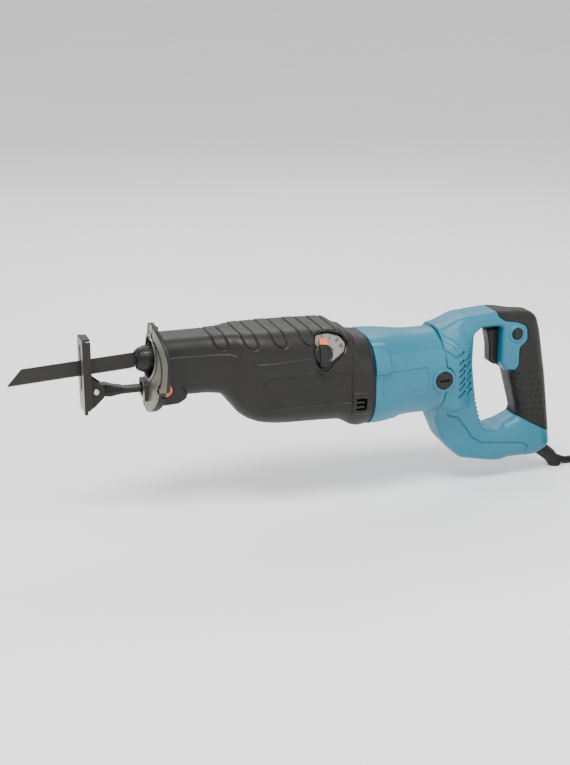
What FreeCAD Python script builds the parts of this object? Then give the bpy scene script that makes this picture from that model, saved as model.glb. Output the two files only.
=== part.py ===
import FreeCAD, Part
import math
import os

# Corded reciprocating saw, drawn in millimetres. The drawing frame has its origin at the
# nose's front: X runs back from the nose to the handle (the blade points to -X), Z is up,
# and -Y is the side with the orbital dial. main() moves every piece so that the origin is the
# bottom centre of the tool's own box, without its cord.

V = FreeCAD.Vector
X_AXIS = V(1, 0, 0)
Y_AXIS = V(0, 1, 0)
Z_AXIS = V(0, 0, 1)

# ---- driving dimensions -------------------------------------------------------------------
FIT = 0.3                    # gap between curved faces of pieces that move past each other
RUN = 0.05                   # radial clearance of a running fit

MOTOR_Z = -35.0              # height of the armature's axis
BAND_R = 48.5                # motor housing, front band
MOTOR_R = 46.5               # motor housing, body
MOTOR_FRONT = 245.0
BAND_BACK = 272.0
SEAM_X = 321.0               # plane where the handle shells meet the motor housing
MOTOR_WALL = 3.0

COVER_WALL = 2.2             # rubber cover over the metal gear housing
NOSE_FRONT = 13.0
GEARBOX_BACK = 219.0

PLUNGER_TILT = 2.5           # degrees, blade end down
PLUNGER_Z0 = 5.2             # height of the plunger's axis at CLAMP_X
CLAMP_X = -5.5
PLUNGER_R = 7.5
BUSH_R = 9.5
GUIDE_R = 11.5
GUIDE_FRONT = 50.0
GUIDE_BACK = 118.0
GUIDE_PIVOT_X = 105.0

STROKE = 32.0
CRANK_R = STROKE / 2
REST_OFFSET = -12.0          # yoke centre at rest, from the middle of its stroke
CRANK_X = 160.0              # vertical crank shaft
PINION_TEETH = 12
GEAR_TEETH = 48
GEAR_PITCH_R = 28.0
GEAR_FACE = 7.0

BLADE_TIP_X = -134.0
BLADE_HEIGHT = 16.5
BLADE_THICK = 1.25
BLADE_DROOP = 0.9            # degrees the blade leans down in its clamp
TOOTH_PITCH = 2.54

SHOE_FRONT = -58.0
SHOE_HALF_WIDTH = 12.0
SHOE_TOP = 31.0
SHOE_BOTTOM = -41.0
SHOE_SHEET = 3.0
SHOE_PIN = (-47.0, -21.5)    # X, Z of the shoe's pivot
STEM_HALF_WIDTH = 6.5
STEM_TOP = -21.6
STEM_BOTTOM = -27.2
STEM_BACK = 78.0
SHOE_TRAVEL = 30.0

GUARD_R = 41.5               # nose guard
GUARD_Z = -3.9
GUARD_FRONT = 9.0
GUARD_HOLE_R = 21.0
GUARD_HOLE_Z = 7.0

BRUSH_X = 317.0
COMMUTATOR_R = 14.0

DIAL_X = 183.0
DIAL_LEAN = 24.0             # degrees the dial faces up from the side
DIAL_FOOT = (-38.4, 4.1)     # Y, Z of the dial's centre, on its plate

HANDLE_HALF = 21.0           # half thickness of the D handle
HANDLE_WALL = 2.8
RUBBER = 2.0
EDGE_ROUND = 7.0

CORD_D = 8.0
CORD_GUARD_SLOPE = 39.0      # degrees below level
CORD_GUARD_END_SLOPE = 25.0
COIL_MEAN_R = 48.0
COIL_LAYERS = 3


# ---- helpers ------------------------------------------------------------------------------
def box(x0, x1, y0, y1, z0, z1):
    return Part.makeBox(x1 - x0, y1 - y0, z1 - z0, V(x0, y0, z0))


def rod(start, direction, radius, length):
    return Part.makeCylinder(radius, length, start, direction)


def tube(start, direction, outer, inner, length):
    return rod(start, direction, outer, length).cut(rod(start, direction, inner, length))


def union(shapes):
    whole = shapes[0]
    for shape in shapes[1:]:
        whole = whole.fuse(shape)
    return whole.removeSplitter()


def mirrored(shape):
    return shape.mirror(V(0, 0, 0), Y_AXIS)


def both_sides(shape):
    return Part.makeCompound([shape, mirrored(shape)])


def rounded_wire(points, radii):
    """Closed wire through the points, with an arc of the given radius at each."""
    count = len(points)
    if not isinstance(radii, (list, tuple)):
        radii = [radii] * count
    cuts = []
    for i in range(count):
        here, before, after = points[i], points[i - 1], points[(i + 1) % count]
        to_before = (before - here).normalize()
        to_after = (after - here).normalize()
        half = to_before.getAngle(to_after) / 2
        reach = radii[i] / math.tan(half)
        start = here + to_before * reach
        end = here + to_after * reach
        middle = (to_before + to_after).normalize()
        centre = here + middle * (radii[i] / math.sin(half))
        cuts.append((start, centre - middle * radii[i], end))
    edges = []
    for i in range(count):
        start, crown, end = cuts[i]
        edges.append(Part.Arc(start, crown, end).toShape())
        following = cuts[(i + 1) % count][0]
        if (following - end).Length > 1e-6:
            edges.append(Part.LineSegment(end, following).toShape())
    return Part.Wire(edges)


def side_prism(outline, radii, y0, y1):
    """Outline of (X, Z) points with rounded corners, thickened from y0 to y1."""
    wire = rounded_wire([V(x, y0, z) for x, z in outline], radii)
    return Part.Face(wire).extrude(V(0, y1 - y0, 0))


def end_section(x, half_width, top, bottom, radius, inset):
    """Rounded rectangle across the tool at x, drawn inset from its stated size."""
    w = half_width - inset
    t = top - inset
    b = bottom + inset
    r = max(radius - inset, 1.0)
    return rounded_wire([V(x, -w, b), V(x, w, b), V(x, w, t), V(x, -w, t)], r)


def skin(stations, inset):
    return Part.makeLoft([end_section(*s, inset) for s in stations], True, True)


def plunger_at(x):
    tilt = math.tan(math.radians(PLUNGER_TILT))
    return V(x, 0, PLUNGER_Z0 + (x - CLAMP_X) * tilt)


PLUNGER_DIR = V(math.cos(math.radians(PLUNGER_TILT)), 0, math.sin(math.radians(PLUNGER_TILT)))


def on_plunger(x, radius, length):
    return rod(plunger_at(x), PLUNGER_DIR, radius, length)


# ---- gearbox: metal housing, rubber cover, cap --------------------------------------------
# X, half width, top, bottom, corner radius
GEARBOX = [
    (NOSE_FRONT, 27.0, 27.6, -31.2, 16.0),
    (60.0, 27.0, 27.6, -31.2, 16.0),
    (84.0, 29.0, 27.8, -33.5, 16.0),
    (97.0, 35.0, 27.8, -50.0, 17.0),
    (122.0, 42.5, 28.0, -65.0, 22.0),
    (140.0, 44.0, 28.0, -69.0, 24.0),
    (202.0, 44.5, 26.3, -72.0, 24.0),
    (GEARBOX_BACK, 46.5, 19.0, -79.0, 32.0),
]
COLLAR = [
    (GEARBOX_BACK + 0.2, 48.2, 17.4, -81.5, 36.0),
    (230.0, 49.0, 14.8, -84.6, 46.0),
    (MOTOR_FRONT - 0.2, 49.3, 14.3, -84.3, 48.0),
]
DIAL_R = 23.0
DIAL_CUP = (8.0, 2.0)        # centre of the dial's cup from its lever, along the tool and up the face
DIAL_SEAT = -3.0             # bottom of the dial's socket, from the plate's face
DIAL_FLOOR = -0.7            # inside face of the dial's cup
DIAL_OUT = V(0, -math.cos(math.radians(DIAL_LEAN)), math.sin(math.radians(DIAL_LEAN)))
DIAL_CENTRE = V(DIAL_X, DIAL_FOOT[0], DIAL_FOOT[1])
DIAL_UP = V(0, math.sin(math.radians(DIAL_LEAN)), math.cos(math.radians(DIAL_LEAN)))
CUP_CENTRE = DIAL_CENTRE + X_AXIS * DIAL_CUP[0] + DIAL_UP * DIAL_CUP[1]
LOBE = (21.0, -22.0)         # X, Z of the shoe lock's bore
LOBE_R = 10.5
CAP_BOX = (124.0, 190.0, 24.0, 22.0)
BEARING_WALL = 196.0
CRANK_TOP_BEARING_Z = -44.5
CRANK_LOW_BEARING_Z = -62.5
CRANK_BEARING_R = 14.0
CRANK_BEARING_W = 8.0
CRANK_SHAFT_R = 6.0
MOTOR_BEARING_R = 16.0
MOTOR_BEARING_W = 10.0
MOTOR_SHAFT_R = 6.0
CASE_SCREW_R = 2.5
CASE_SCREW_PITCH_R = 40.0


def case_screw_places():
    for quarter in range(4):
        angle = math.radians(45 + 90 * quarter)
        yield CASE_SCREW_PITCH_R * math.cos(angle), MOTOR_Z + CASE_SCREW_PITCH_R * math.sin(angle)


def cap_screw_places():
    x0, x1, half, _ = CAP_BOX
    for x in (x0 + 4.5, x1 - 4.5):
        for y in (-half + 5.0, half - 5.0):
            yield x, y


def lock_lobe(radius, reach):
    """Lobe below the nose that carries the shoe lock button, on the dial side."""
    x, z = LOBE
    lobe = rod(V(x + 2, -reach, z - 1.5), Y_AXIS, radius, reach)
    return lobe.common(box(NOSE_FRONT, x + 30, -60, 0, -60, 0))


def gear_housing():
    x0, x1, half, cap_z = CAP_BOX
    body = union([skin(GEARBOX, COVER_WALL), lock_lobe(LOBE_R, 27.0)])
    hollows = [
        box(NOSE_FRONT - 1, GUIDE_BACK, -16, 16, -17.8, 22.4),
        box(NOSE_FRONT - 1, STEM_BACK + SHOE_TRAVEL + 3, -STEM_HALF_WIDTH - 0.3,
            STEM_HALF_WIDTH + 0.3, STEM_BOTTOM - 0.3, STEM_TOP + 0.3),
        rod(V(CRANK_X, 0, -52.0), Z_AXIS, 31.0, 50.0),
        box(GUIDE_BACK - 1, BEARING_WALL, -27, 27, -3.0, 19.6),
        box(x0 + 8, x1 - 8, -15, 15, 19.0, cap_z + 0.1),
        box(x0, x1, -half, half, cap_z, cap_z + 10),
        box(CRANK_X, BEARING_WALL, -12, 12, -47.0, -23.0),
        rod(V(BEARING_WALL - 1, 0, MOTOR_Z), X_AXIS, 9.0, 30.0),
        rod(V(GEARBOX_BACK - MOTOR_BEARING_W, 0, MOTOR_Z), X_AXIS, MOTOR_BEARING_R, 20.0),
        rod(V(LOBE[0], -40, LOBE[1]), Y_AXIS, 7.3, 17.2),
        rod(V(LOBE[0], -40, LOBE[1]), Y_AXIS, 3.3, 34.0),
        rod(V(GUIDE_PIVOT_X, -30, plunger_at(GUIDE_PIVOT_X).z), Y_AXIS, 4.0, 60.0),
        rod(CUP_CENTRE + DIAL_OUT * DIAL_SEAT, DIAL_OUT, DIAL_R + 0.2, 30.0),
        rod(DIAL_CENTRE - DIAL_OUT * 13.5, DIAL_OUT, 4.3, 30.0),
    ]
    for hollow in hollows:
        body = body.cut(hollow)
    upper = box(CRANK_X - 17, CRANK_X + 17, -17, 17, -66.5, CRANK_TOP_BEARING_Z + CRANK_BEARING_W)
    boss = upper.common(rod(V(CRANK_X, 0, -66.5), Z_AXIS, 17.0, 60.0))
    body = body.fuse(boss)
    body = body.cut(rod(V(CRANK_X, 0, CRANK_LOW_BEARING_Z), Z_AXIS, CRANK_BEARING_R, 40.0))
    for y, z in case_screw_places():
        body = body.cut(rod(V(GEARBOX_BACK - 14, y, z), X_AXIS, CASE_SCREW_R, 20.0))
    for x, y in cap_screw_places():
        body = body.cut(rod(V(x, y, cap_z - 7), Z_AXIS, 1.5, 10.0))
    return body.removeSplitter()


def crank_cap():
    x0, x1, half, cap_z = CAP_BOX
    slab = box(x0, x1, -half, half, cap_z, cap_z + 8)
    plate = slab.common(skin(GEARBOX, COVER_WALL))
    for x, y in cap_screw_places():
        plate = plate.cut(rod(V(x, y, cap_z - 1), Z_AXIS, 1.5, 10.0))
        plate = plate.cut(rod(V(x, y, cap_z + 0.6), Z_AXIS, 3.2, 10.0))
    return plate


def cap_screws():
    cap_z = CAP_BOX[3]
    screws = []
    for x, y in cap_screw_places():
        shank = rod(V(x, y, cap_z - 6.5), Z_AXIS, 1.5, 7.1)
        head = rod(V(x, y, cap_z + 0.6), Z_AXIS, 3.0, 1.2)
        screws.append(union([shank, head]))
    return Part.makeCompound(screws)


def front_cover():
    outer = union([skin(GEARBOX, 0.0), lock_lobe(LOBE_R + COVER_WALL, 29.2)])
    body = outer.cut(skin(GEARBOX, COVER_WALL))
    body = body.cut(lock_lobe(LOBE_R, 27.0))
    body = body.cut(rod(V(LOBE[0], -40, LOBE[1]), Y_AXIS, 8.5, 16.0))
    body = body.cut(rod(CUP_CENTRE + DIAL_OUT * DIAL_SEAT, DIAL_OUT, DIAL_R + 0.2, 30.0))
    return max(body.removeSplitter().Solids, key=lambda solid: solid.Volume)


def guide_pivot_pins():
    z = plunger_at(GUIDE_PIVOT_X).z
    return both_sides(rod(V(GUIDE_PIVOT_X, 11.7, z), Y_AXIS, 4.0, 18.3))


# ---- nose guard ---------------------------------------------------------------------------
GUARD_PLATE = 4.0
GUARD_SWEEP = 9.0
GUARD_SCREW_Y = 31.5
GUARD_SCREW_DROP = 12.0


def nose_guard():
    rear = GUARD_FRONT + GUARD_PLATE
    disc = rod(V(GUARD_FRONT, 0, GUARD_Z), X_AXIS, GUARD_R, GUARD_PLATE)
    disc = disc.makeFillet(1.6, disc.Edges)
    rim = tube(V(rear - 1.5, 0, GUARD_Z), X_AXIS, GUARD_R - 0.05, GUARD_R - 3.5, GUARD_SWEEP)
    rim = rim.common(box(GUARD_FRONT, rear + 20, -60, 60, GUARD_Z - 27, GUARD_Z + 27))
    rim = rim.cut(lock_lobe(LOBE_R + COVER_WALL + 0.5, 60.0))
    body = union([disc, rim])
    cuts = [
        rod(V(0, 0, GUARD_HOLE_Z), X_AXIS, GUARD_HOLE_R, 40.0),
        box(0, 40, -STEM_HALF_WIDTH - 1.5, STEM_HALF_WIDTH + 1.5, STEM_BOTTOM - 1.5, STEM_TOP + 1.5),
    ]
    for shape in cuts:
        body = body.cut(shape)
    for sign in (1, -1):
        body = body.cut(rod(V(0, sign * GUARD_SCREW_Y, GUARD_Z - GUARD_SCREW_DROP), X_AXIS, 2.2, 40.0))
    return body.removeSplitter()


# ---- plunger group ------------------------------------------------------------------------
YOKE_HALF_X = 12.0
YOKE_HALF_Y = 25.0
YOKE_SLOT = 6.3
YOKE_BOTTOM = 2.0
YOKE_TOP = 12.0


def plunger_guide():
    length = (GUIDE_BACK - GUIDE_FRONT) / math.cos(math.radians(PLUNGER_TILT)) - 1.0
    body = on_plunger(GUIDE_FRONT, GUIDE_R, length)
    z = plunger_at(GUIDE_PIVOT_X).z
    ears = rod(V(GUIDE_PIVOT_X, -15.4, z), Y_AXIS, 7.5, 30.8)
    body = body.fuse(ears)
    body = body.cut(on_plunger(GUIDE_FRONT - 1, BUSH_R, length + 2))
    body = body.cut(rod(V(GUIDE_PIVOT_X, -20, z), Y_AXIS, 4.0 + RUN, 9.0))
    body = body.cut(rod(V(GUIDE_PIVOT_X, 11.0, z), Y_AXIS, 4.0 + RUN, 9.0))
    return body.removeSplitter()


BUSH_LENGTH = 20.0


def guide_bushings():
    rings = []
    for x in (GUIDE_FRONT + 6.0, GUIDE_BACK - 2.0 - BUSH_LENGTH):
        rings.append(tube(plunger_at(x), PLUNGER_DIR, BUSH_R, PLUNGER_R + RUN, BUSH_LENGTH))
    return Part.makeCompound(rings)


def dust_seal():
    return tube(plunger_at(GUIDE_FRONT), PLUNGER_DIR, BUSH_R, PLUNGER_R + RUN, 5.0)


def yoke_centre_x():
    return CRANK_X + REST_OFFSET


def plunger():
    centre = yoke_centre_x()
    bar = on_plunger(14.0, PLUNGER_R, centre - 14.0)
    spigot = on_plunger(4.0, 5.0, 12.0)
    yoke = box(centre - YOKE_HALF_X, centre + YOKE_HALF_X, -YOKE_HALF_Y, YOKE_HALF_Y,
               YOKE_BOTTOM, YOKE_TOP)
    slot = box(centre - YOKE_SLOT, centre + YOKE_SLOT, -CRANK_R - YOKE_SLOT, CRANK_R + YOKE_SLOT,
               YOKE_BOTTOM - 5, YOKE_TOP + 20)
    return union([bar, spigot, yoke]).cut(slot).removeSplitter()


HOLDER_FRONT = -2.5
HOLDER_BACK = 14.0
HOLDER_R = 9.0
SLEEVE_BACK = 18.0
TANG_HEIGHT = 9.0
TANG_LENGTH = 9.0
CLAMP_PIN_R = 2.0
CLAMP_PIN_X = 1.5


def clamp_holder():
    body = on_plunger(HOLDER_FRONT, HOLDER_R, HOLDER_BACK - HOLDER_FRONT)
    body = body.cut(on_plunger(4.0, 5.0, 12.0))
    slot = box(HOLDER_FRONT - 2, 4.5, -BLADE_THICK / 2 - 0.1, BLADE_THICK / 2 + 0.1, -4.8, 15.8)
    body = body.cut(slot)
    return body.cut(clamp_cross_pin()).removeSplitter()


def clamp_sleeve():
    profile = [(-4.0, HOLDER_R + FIT), (-4.0, 10.6), (0.0, 12.4), (6.5, 14.0),
               (SLEEVE_BACK, 14.0), (SLEEVE_BACK, HOLDER_R + FIT)]
    wire = Part.makePolygon([V(x, 0, r) for x, r in profile + profile[:1]])
    body = Part.Face(wire).revolve(V(0, 0, 0), X_AXIS, 360)
    for turn in range(8):
        notch = rod(V(3.0, 0, 15.4), X_AXIS, 2.2, 11.0)
        notch.rotate(V(0, 0, 0), X_AXIS, 22.5 + 45 * turn)
        body = body.cut(notch)
    body.rotate(V(0, 0, 0), Y_AXIS, -PLUNGER_TILT)
    body.translate(plunger_at(0))
    return body


def clamp_cross_pin():
    height = plunger_at(CLAMP_PIN_X).z
    half = HOLDER_R - 0.6
    return rod(V(CLAMP_PIN_X, -half, height), Y_AXIS, CLAMP_PIN_R, 2 * half)


def blade():
    """Bimetal blade: parallel body with a raked tip, tang in the clamp, teeth down."""
    half = BLADE_HEIGHT / 2
    tip = BLADE_TIP_X - CLAMP_X
    back = 0.0
    outline = [(back + TANG_LENGTH, TANG_HEIGHT / 2), (back, TANG_HEIGHT / 2), (back, half),
               (tip + 15.5, half), (tip, -half + 1.2)]
    teeth = int((back - tip - 4.0) / TOOTH_PITCH)
    for index in range(teeth):
        x = tip + 2.0 + index * TOOTH_PITCH
        outline.append((x, -half))
        outline.append((x + TOOTH_PITCH * 0.35, -half + 1.2))
    outline += [(back, -half), (back, -TANG_HEIGHT / 2), (back + TANG_LENGTH, -TANG_HEIGHT / 2)]
    points = [V(x, -BLADE_THICK / 2, z) for x, z in outline]
    wire = Part.makePolygon(points + points[:1])
    body = Part.Face(wire).extrude(V(0, BLADE_THICK, 0))
    body.rotate(V(0, 0, 0), Y_AXIS, -PLUNGER_TILT - BLADE_DROOP)
    body.translate(V(CLAMP_X, 0, PLUNGER_Z0))
    hole = rod(V(CLAMP_PIN_X, -5, plunger_at(CLAMP_PIN_X).z), Y_AXIS, CLAMP_PIN_R + 0.1, 10.0)
    return body.cut(hole)


# ---- shoe ---------------------------------------------------------------------------------
STEM_EYE_R = 6.2
SHOE_PIN_R = 2.5
EAR_OUT = 9.0
SLOT_TOP = 25.0
SLOT_BOTTOM = -20.0
SLOT_HALF = 2.9


def shoe_stem():
    px, pz = SHOE_PIN
    bar = box(-34.0, STEM_BACK, -STEM_HALF_WIDTH, STEM_HALF_WIDTH, STEM_BOTTOM, STEM_TOP)
    head = side_prism([(px + 4, pz + 5.6), (-31, -19.4), (-20, STEM_TOP), (-20, STEM_BOTTOM),
                       (-32, -29.2), (px + 4, pz - 6.0)], [0.8, 4, 2, 1, 4, 0.8],
                      -STEM_HALF_WIDTH, STEM_HALF_WIDTH)
    eye = rod(V(px, -STEM_HALF_WIDTH, pz), Y_AXIS, STEM_EYE_R, 2 * STEM_HALF_WIDTH)
    body = union([bar, head, eye])
    body = body.cut(rod(V(px, -20, pz), Y_AXIS, SHOE_PIN_R + RUN, 40.0))
    for index in range(4):
        x = -1.0 + index * 10.0
        for sign in (1, -1):
            notch = box(x, x + 4, min(sign * 5.0, sign * 8.0), max(sign * 5.0, sign * 8.0),
                        STEM_BOTTOM - 1, STEM_TOP + 1)
            body = body.cut(notch)
    for sign in (1, -1):
        groove = box(-36, -14, min(sign * 5.2, sign * 8), max(sign * 5.2, sign * 8), -26.0, -22.4)
        body = body.cut(groove)
    return body.removeSplitter()


def shoe_plate():
    px, pz = SHOE_PIN
    w = SHOE_HALF_WIDTH
    front = SHOE_FRONT
    corners = [V(front, -w, SHOE_BOTTOM + 5), V(front, -w, SHOE_TOP), V(front, w, SHOE_TOP),
               V(front, w, SHOE_BOTTOM + 5), V(front, w - 5, SHOE_BOTTOM), V(front, 5 - w, SHOE_BOTTOM)]
    plate = Part.Face(rounded_wire(corners, 2.0)).extrude(V(SHOE_SHEET, 0, 0))
    pieces = [plate]
    flange = box(front + 1.0, front + 6.8, w - 2.2, w, SHOE_BOTTOM + 7, SHOE_TOP - 2.5)
    ear = side_prism([(front + 2, -2.0), (front + 8, -8.0), (px + 9.5, pz + 3), (px + 8.5, pz - 6),
                      (px - 2, pz - 16), (front + 2, pz - 18)], [1, 3, 5, 5, 8, 1], EAR_OUT - 1.9, EAR_OUT)
    bridge = box(front + 1.0, front + 4.5, EAR_OUT - 1.9, w, -38, -3)
    for piece in (flange, ear, bridge):
        pieces += [piece, mirrored(piece)]
    pieces.append(box(front + 1.0, front + 7.0, -w + 3, w - 3, SHOE_TOP - 2.4, SHOE_TOP))
    body = union(pieces)
    slot = side_prism([(front - 5, SLOT_BOTTOM), (front - 5, SLOT_TOP), (front + 15, SLOT_TOP),
                       (front + 15, SLOT_BOTTOM)], 0.5, -SLOT_HALF, SLOT_HALF)
    body = body.cut(slot)
    for sign in (1, -1):
        start = V(px, sign * (EAR_OUT - 4), pz)
        body = body.cut(rod(start, Y_AXIS * sign, SHOE_PIN_R, 10.0))
    return body.removeSplitter()


def shoe_pin():
    px, pz = SHOE_PIN
    shank = rod(V(px, -EAR_OUT - 2.0, pz), Y_AXIS, SHOE_PIN_R, 2 * EAR_OUT + 4.0)
    heads = [rod(V(px, EAR_OUT, pz), Y_AXIS, 3.9, 2.0), rod(V(px, -EAR_OUT - 2.0, pz), Y_AXIS, 3.9, 2.0)]
    return union([shank] + heads)


BUTTON_OUT = -31.5
BUTTON_IN = -26.6


def shoe_lock_button():
    x, z = LOBE
    head = rod(V(x, BUTTON_OUT, z), Y_AXIS, 7.0, BUTTON_IN - BUTTON_OUT)
    crown = [edge for edge in head.Edges if abs(edge.CenterOfMass.y - BUTTON_OUT) < 0.01]
    head = head.makeFillet(1.2, crown)
    stalk = rod(V(x, BUTTON_IN - 1, z), Y_AXIS, 3.0, -11.0 - BUTTON_IN + 1)
    return union([head, stalk])


# ---- crank group --------------------------------------------------------------------------
def bevel_gear(teeth, pitch_radius, mate_radius, blank):
    """Straight bevel gear about +Z with its pitch cone's apex at the origin.

    Each tooth is a wedge whose sections shrink towards the apex."""
    slope = math.atan2(pitch_radius, mate_radius)
    outer = math.hypot(pitch_radius, mate_radius)
    shrink = (outer - GEAR_FACE) / outer
    pitch = 2 * math.pi * pitch_radius / teeth
    module = 2 * pitch_radius / teeth
    along = V(math.sin(slope), 0, math.cos(slope))
    outward = V(math.cos(slope), 0, -math.sin(slope))
    section = [(-1.35 * module, -0.30), (0, -0.205), (0.75 * module, -0.10),
               (0.75 * module, 0.10), (0, 0.205), (-1.35 * module, 0.30)]
    large = [along * outer + outward * h + Y_AXIS * (w * pitch) for h, w in section]
    small = [p * shrink for p in large]
    wires = [Part.makePolygon(ring + ring[:1]) for ring in (large, small)]
    tooth = Part.makeLoft(wires, True, True)
    gear = blank
    wheel = []
    for index in range(teeth):
        copy = tooth.copy()
        copy.rotate(V(0, 0, 0), Z_AXIS, 360.0 * index / teeth)
        wheel.append(copy)
    return gear.multiFuse(wheel).removeSplitter()


def cone_blank(pitch_radius, mate_radius, module, back, bore):
    """Body behind the teeth: its front is the root cone, its back a flat face."""
    slope = math.atan2(pitch_radius, mate_radius)
    outer = math.hypot(pitch_radius, mate_radius)
    shrink = (outer - GEAR_FACE) / outer
    drop = 1.1 * module
    large = (math.sin(slope) * outer - math.cos(slope) * drop,
             math.cos(slope) * outer + math.sin(slope) * drop)
    small = (large[0] * shrink, large[1] * shrink)
    profile = [(bore, small[1]), small, large, (large[0], back), (bore, back)]
    wire = Part.makePolygon([V(r, 0, z) for r, z in profile + profile[:1]])
    return Part.Face(wire).revolve(V(0, 0, 0), Z_AXIS, 360)


PINION_PITCH_R = GEAR_PITCH_R * PINION_TEETH / GEAR_TEETH
GEAR_MODULE = 2 * GEAR_PITCH_R / GEAR_TEETH
PINION_BACK = 36.0
PINION_BORE = 4.0
GEAR_BACK = 17.0
PIN_R = 4.0
ROLLER_R = 6.0
ROLLER_TOP = YOKE_BOTTOM - 1.4
GEAR_TOP = MOTOR_Z + GEAR_BACK


def crank_pin_place():
    """The crank pin stands where it would drive the yoke at its rest place."""
    across = math.sqrt(CRANK_R ** 2 - REST_OFFSET ** 2)
    return CRANK_X + REST_OFFSET, -across


def crank_gear():
    blank = cone_blank(GEAR_PITCH_R, PINION_PITCH_R, GEAR_MODULE, GEAR_BACK, CRANK_SHAFT_R)
    gear = bevel_gear(GEAR_TEETH, GEAR_PITCH_R, PINION_PITCH_R, blank)
    gear.rotate(V(0, 0, 0), Z_AXIS, 180.0 / GEAR_TEETH)
    gear.translate(V(CRANK_X, 0, MOTOR_Z))
    px, py = crank_pin_place()
    weight = rod(V(CRANK_X, 0, GEAR_TOP - 0.5), Z_AXIS, 25.0, 7.5)
    away = V(CRANK_X - px, -py, 0).normalize()
    half = box(8.0, 40.0, -40.0, 40.0, GEAR_TOP - 1, GEAR_TOP + 10)
    half.rotate(V(0, 0, 0), Z_AXIS, math.degrees(math.atan2(away.y, away.x)))
    half.translate(V(CRANK_X, 0, 0))
    gear = gear.fuse(weight.common(half))
    gear = gear.cut(rod(V(px, py, MOTOR_Z), Z_AXIS, PIN_R, 40.0))
    return gear.removeSplitter()


def crank_shaft():
    low = CRANK_LOW_BEARING_Z
    return rod(V(CRANK_X, 0, low), Z_AXIS, CRANK_SHAFT_R, GEAR_TOP - low)


def crank_pin():
    px, py = crank_pin_place()
    start = MOTOR_Z + PINION_PITCH_R + 4.0
    return rod(V(px, py, start), Z_AXIS, PIN_R, ROLLER_TOP - start)


def crank_roller():
    px, py = crank_pin_place()
    return tube(V(px, py, GEAR_TOP + 0.4), Z_AXIS, ROLLER_R, PIN_R + RUN, ROLLER_TOP - GEAR_TOP - 0.4)


def ball_bearing(start, direction, outer, bore, width):
    """Inner ring, outer ring and a shielded ball space between them, as one piece."""
    body = tube(start, direction, outer, bore, width)
    ring = tube(start, direction, outer - 2.6, bore + 2.6, 0.8)
    far = ring.copy()
    far.translate(direction * (width - 0.8))
    return body.cut(ring).cut(far)


def crank_bearings():
    low = ball_bearing(V(CRANK_X, 0, CRANK_LOW_BEARING_Z), Z_AXIS, CRANK_BEARING_R,
                       CRANK_SHAFT_R + RUN, CRANK_BEARING_W)
    top = ball_bearing(V(CRANK_X, 0, CRANK_TOP_BEARING_Z), Z_AXIS, CRANK_BEARING_R,
                       CRANK_SHAFT_R + RUN, CRANK_BEARING_W)
    return Part.makeCompound([low, top])


# ---- motor --------------------------------------------------------------------------------
REAR_BEARING_X = 338.0
REAR_BEARING_R = 11.0
REAR_BEARING_W = 7.0
REAR_SHAFT_R = 4.0
BELL_R = 42.5
BELL_BACK = 334.0
STATOR_X = (266.0, 306.0)
CORE_X = (268.0, 304.0)
CORE_R = 23.6
STATOR_BORE = 24.4
FAN_X = (250.5, 261.0)
FAN_R = 35.0
BOSS_R = 13.0
BOSS_OUT = 47.2
CAP_R = 9.6
CAP_IN = 41.0


def axis_at(x):
    return V(x, 0, MOTOR_Z)


def armature_shaft():
    front = CRANK_X + 18.8
    thick = rod(axis_at(GEARBOX_BACK - MOTOR_BEARING_W - 6), X_AXIS, MOTOR_SHAFT_R,
                REAR_BEARING_X - 1 - (GEARBOX_BACK - MOTOR_BEARING_W - 6))
    nose = rod(axis_at(front), X_AXIS, PINION_BORE, 60.0)
    tail = rod(axis_at(REAR_BEARING_X - 2), X_AXIS, REAR_SHAFT_R, REAR_BEARING_W + 2)
    return union([thick, nose, tail])


def drive_pinion():
    blank = cone_blank(PINION_PITCH_R, GEAR_PITCH_R, GEAR_MODULE, PINION_BACK, PINION_BORE)
    gear = bevel_gear(PINION_TEETH, PINION_PITCH_R, GEAR_PITCH_R, blank)
    gear.rotate(V(0, 0, 0), Y_AXIS, 90)
    gear.translate(axis_at(CRANK_X))
    return gear


def armature_core():
    x0, x1 = CORE_X
    body = tube(axis_at(x0), X_AXIS, CORE_R, MOTOR_SHAFT_R, x1 - x0)
    for index in range(12):
        slot = box(x0 - 1, x1 + 1, -1.2, 1.2, CORE_R - 7, CORE_R + 1)
        slot.rotate(V(0, 0, 0), X_AXIS, 30 * index)
        slot.translate(V(0, 0, MOTOR_Z))
        body = body.cut(slot)
    windings = tube(axis_at(x0 - 5), X_AXIS, CORE_R - 3, MOTOR_SHAFT_R, 5.0)
    far = tube(axis_at(x1), X_AXIS, CORE_R - 3, MOTOR_SHAFT_R, 3.0)
    return union([body, windings, far])


def commutator():
    body = tube(axis_at(311.0), X_AXIS, COMMUTATOR_R, MOTOR_SHAFT_R, 17.0)
    for index in range(24):
        slit = box(310, 329, -0.25, 0.25, COMMUTATOR_R - 1.2, COMMUTATOR_R + 1)
        slit.rotate(V(0, 0, 0), X_AXIS, 15 * index + 7.5)
        slit.translate(V(0, 0, MOTOR_Z))
        body = body.cut(slit)
    return body


def cooling_fan():
    x0, x1 = FAN_X
    parts = [tube(axis_at(x1 - 2.5), X_AXIS, FAN_R, MOTOR_SHAFT_R, 2.5),
             tube(axis_at(x0), X_AXIS, 11.0, MOTOR_SHAFT_R, x1 - x0)]
    for index in range(11):
        vane = box(x0, x1 - 1, -0.9, 0.9, 10.0, FAN_R - 1)
        vane.rotate(V(0, 0, 0), X_AXIS, 360.0 / 11 * index)
        vane.translate(V(0, 0, MOTOR_Z))
        parts.append(vane)
    return parts[0].multiFuse(parts[1:]).removeSplitter()


def front_bearing():
    start = axis_at(GEARBOX_BACK - MOTOR_BEARING_W)
    return ball_bearing(start, X_AXIS, MOTOR_BEARING_R, MOTOR_SHAFT_R + RUN, MOTOR_BEARING_W)


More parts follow.
